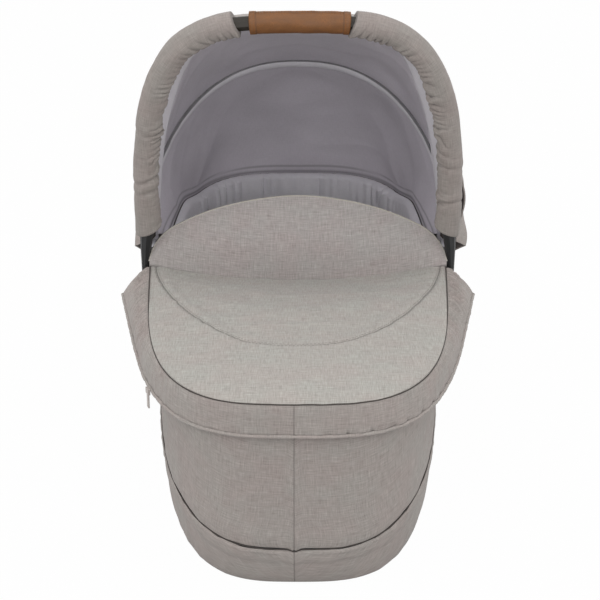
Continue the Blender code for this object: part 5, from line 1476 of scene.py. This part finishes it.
def stage():
    """Pale floor, white surroundings, soft light and the camera of the photograph."""
    scene = bpy.context.scene
    scene.view_settings.view_transform = "Standard"
    size = 14.0
    mesh = bpy.data.meshes.new("floor")
    mesh.from_pydata([(-size, -size, 0.0), (size, -size, 0.0), (size, size, 0.0), (-size, size, 0.0)], [],
                     [(0, 1, 2, 3)])
    floor = bpy.data.objects.new("floor", mesh)
    scene.collection.objects.link(floor)
    made = bpy.data.materials.new("painted_floor_white")
    made.use_nodes = True
    tree = made.node_tree
    tree.nodes.clear()
    dull = add_node(tree, "ShaderNodeBsdfDiffuse", {"Color": (0.42, 0.42, 0.42, 1.0)})
    glow = add_node(tree, "ShaderNodeEmission", {"Color": WHITE, "Strength": 1.0})
    path = add_node(tree, "ShaderNodeLightPath")
    seen = brightest(tree, path, ("Is Camera Ray", "Is Glossy Ray"))
    share = add_node(tree, "ShaderNodeMath", {0: seen, 1: 0.985}, operation="MULTIPLY").outputs["Value"]
    mix = add_node(tree, "ShaderNodeMixShader", {0: share, 1: dull.outputs["BSDF"], 2: glow.outputs["Emission"]})
    add_node(tree, "ShaderNodeOutputMaterial", {"Surface": mix.outputs["Shader"]})
    mesh.materials.append(made)
    world = bpy.data.worlds.new("studio")
    scene.world = world
    world.use_nodes = True
    tree = world.node_tree
    tree.nodes.clear()
    path = add_node(tree, "ShaderNodeLightPath")
    seen = brightest(tree, path, ("Is Camera Ray", "Is Glossy Ray", "Is Transmission Ray"))
    dim = add_node(tree, "ShaderNodeBackground", {"Color": WHITE, "Strength": AMBIENT})
    white = add_node(tree, "ShaderNodeBackground", {"Color": WHITE, "Strength": 1.0})
    mix = add_node(tree, "ShaderNodeMixShader",
                   {0: seen, 1: dim.outputs["Background"], 2: white.outputs["Background"]})
    add_node(tree, "ShaderNodeOutputWorld", {"Surface": mix.outputs["Shader"]})
    for name, place, aim, width, power in LAMPS:
        lamp = bpy.data.lights.new(name, "AREA")
        lamp.shape = "SQUARE"
        lamp.size = width
        lamp.energy = power
        light = bpy.data.objects.new(name, lamp)
        light.location = place
        light.rotation_euler = (Vector(aim) - Vector(place)).to_track_quat("-Z", "Y").to_euler()
        scene.collection.objects.link(light)
    camera = bpy.data.cameras.new("camera")
    camera.sensor_width = SENSOR
    camera.lens = CAMERA_LENS
    camera.clip_end = 60.0
    eye = bpy.data.objects.new("camera", camera)
    scene.collection.objects.link(eye)
    rise = math.radians(CAMERA_RISE)
    aim = Vector((0.0, 0.0, 0.25))
    eye.location = aim + CAMERA_DISTANCE * Vector((0.0, -math.cos(rise), math.sin(rise)))
    look = (aim - eye.location).to_track_quat("-Z", "Y").to_matrix()
    focal = camera.lens / SENSOR * PICTURE
    right = math.atan2(PICTURE_MIDDLE[0] - PICTURE / 2.0, focal)
    down = math.atan2(PICTURE / 2.0 - PICTURE_MIDDLE[1], focal)
    turn = look @ Matrix.Rotation(right, 3, "Y") @ Matrix.Rotation(-down, 3, "X")
    eye.rotation_euler = turn.to_euler()
    scene.camera = eye


class TubClothOperator(bpy.types.Operator):
    """Sew the tub's outer cloth, the cloth under its floor and the low piping"""
    bl_idname = "carrycot.tub_cloth"
    bl_label = "Tub cloth"

    def execute(self, context):
        """Sew the tub's outer cloth, the cloth under its floor and the low piping."""
        wall_cloth()
        base_cloth()
        low_piping()
        return {"FINISHED"}


class WallPaddingOperator(bpy.types.Operator):
    """Pad the tub's walls with gathered jersey"""
    bl_idname = "carrycot.wall_padding"
    bl_label = "Wall padding"

    def execute(self, context):
        """Pad the tub's walls with gathered jersey."""
        wall_padding()
        return {"FINISHED"}


class MattressOperator(bpy.types.Operator):
    """Swell the mattress with a short cloth simulation"""
    bl_idname = "carrycot.mattress"
    bl_label = "Mattress"

    def execute(self, context):
        """Swell the mattress with a short cloth simulation."""
        mattress()
        return {"FINISHED"}


class ApronOperator(bpy.types.Operator):
    """Make the apron's top with its U seam, topstitching and piping"""
    bl_idname = "carrycot.apron"
    bl_label = "Apron"

    def execute(self, context):
        """Make the apron's top with its U seam, topstitching and piping."""
        apron()
        return {"FINISHED"}


class SideBandOperator(bpy.types.Operator):
    """Gather the apron's side band and its lip"""
    bl_idname = "carrycot.side_band"
    bl_label = "Side band"

    def execute(self, context):
        """Gather the apron's side band and its lip."""
        side_band()
        return {"FINISHED"}


class SleevesOperator(bpy.types.Operator):
    """Ruche the two padded sleeves on the bow"""
    bl_idname = "carrycot.sleeves"
    bl_label = "Bow sleeves"

    def execute(self, context):
        """Ruche the two padded sleeves on the bow."""
        sleeve(-1.0, "left", 0.0760, 401, ((0.080, 0.0032, -0.006, 0.0032), (0.063, 0.0024, -0.004, 0.0036),
                                           (0.148, 0.0016, 0.004, 0.0040)))
        sleeve(1.0, "right", 0.0672, 431, ((0.048, 0.0036, 0.001, 0.0030), (0.100, 0.0020, -0.004, 0.0036)))
        return {"FINISHED"}


class GripOperator(bpy.types.Operator):
    """Wrap and stitch the leather grip"""
    bl_idname = "carrycot.grip"
    bl_label = "Leather grip"

    def execute(self, context):
        """Wrap and stitch the leather grip."""
        grip()
        return {"FINISHED"}


class HoodOperator(bpy.types.Operator):
    """Draw the hood's canvas and lining over bow and rib"""
    bl_idname = "carrycot.hood"
    bl_label = "Hood"

    def execute(self, context):
        """Draw the hood's canvas and lining over bow and rib."""
        hood_outer()
        hood_lining()
        rib_casing()
        return {"FINISHED"}


class WindFlapOperator(bpy.types.Operator):
    """Raise the wind flap with its bound edge"""
    bl_idname = "carrycot.wind_flap"
    bl_label = "Wind flap"

    def execute(self, context):
        """Raise the wind flap with its bound edge."""
        wind_flap()
        return {"FINISHED"}


class HardPartsOperator(bpy.types.Operator):
    """Give the mouldings, metal and board their finishes"""
    bl_idname = "carrycot.hard_parts"
    bl_label = "Hard parts"

    def execute(self, context):
        """Give the mouldings, metal and board their finishes."""
        hard_finishes()
        return {"FINISHED"}


class StageOperator(bpy.types.Operator):
    """Set the floor, the lamps and the camera"""
    bl_idname = "carrycot.stage"
    bl_label = "Stage"

    def execute(self, context):
        """Set the floor, the lamps and the camera."""
        stage()
        return {"FINISHED"}


class CarrycotPanel(bpy.types.Panel):
    """Sizes, colours and pieces of the carrycot's soft goods"""
    bl_idname = "VIEW3D_PT_carrycot"
    bl_label = "Carrycot"
    bl_space_type = "VIEW_3D"
    bl_region_type = "UI"
    bl_category = "Carrycot"

    def draw(self, context):
        """List the sizes, the colours and one button for each piece."""
        for values in (sizes(), colours()):
            box = self.layout.box()
            for name in values.bl_rna.properties.keys():
                if name not in ("rna_type", "name"):
                    box.prop(values, name)
        for made in OPERATORS:
            self.layout.operator(made.bl_idname)


OPERATORS = (
    TubClothOperator,
    WallPaddingOperator,
    MattressOperator,
    ApronOperator,
    SideBandOperator,
    SleevesOperator,
    GripOperator,
    HoodOperator,
    WindFlapOperator,
    HardPartsOperator,
    StageOperator,
)


def register():
    """Register the properties, the operators and the panel."""
    for kind in (CarrycotSizes, CarrycotColours, *OPERATORS, CarrycotPanel):
        bpy.utils.register_class(kind)
    bpy.types.Scene.carrycot_sizes = PointerProperty(type=CarrycotSizes)
    bpy.types.Scene.carrycot_colours = PointerProperty(type=CarrycotColours)


def unregister():
    """Take everything out again."""
    del bpy.types.Scene.carrycot_colours
    del bpy.types.Scene.carrycot_sizes
    for kind in reversed((CarrycotSizes, CarrycotColours, *OPERATORS, CarrycotPanel)):
        bpy.utils.unregister_class(kind)


def main():
    """Dress the frame piece by piece."""
    register()
    for made in OPERATORS:
        group, name = made.bl_idname.split(".")
        getattr(getattr(bpy.ops, group), name)()


if __name__ == "__main__":
    main()
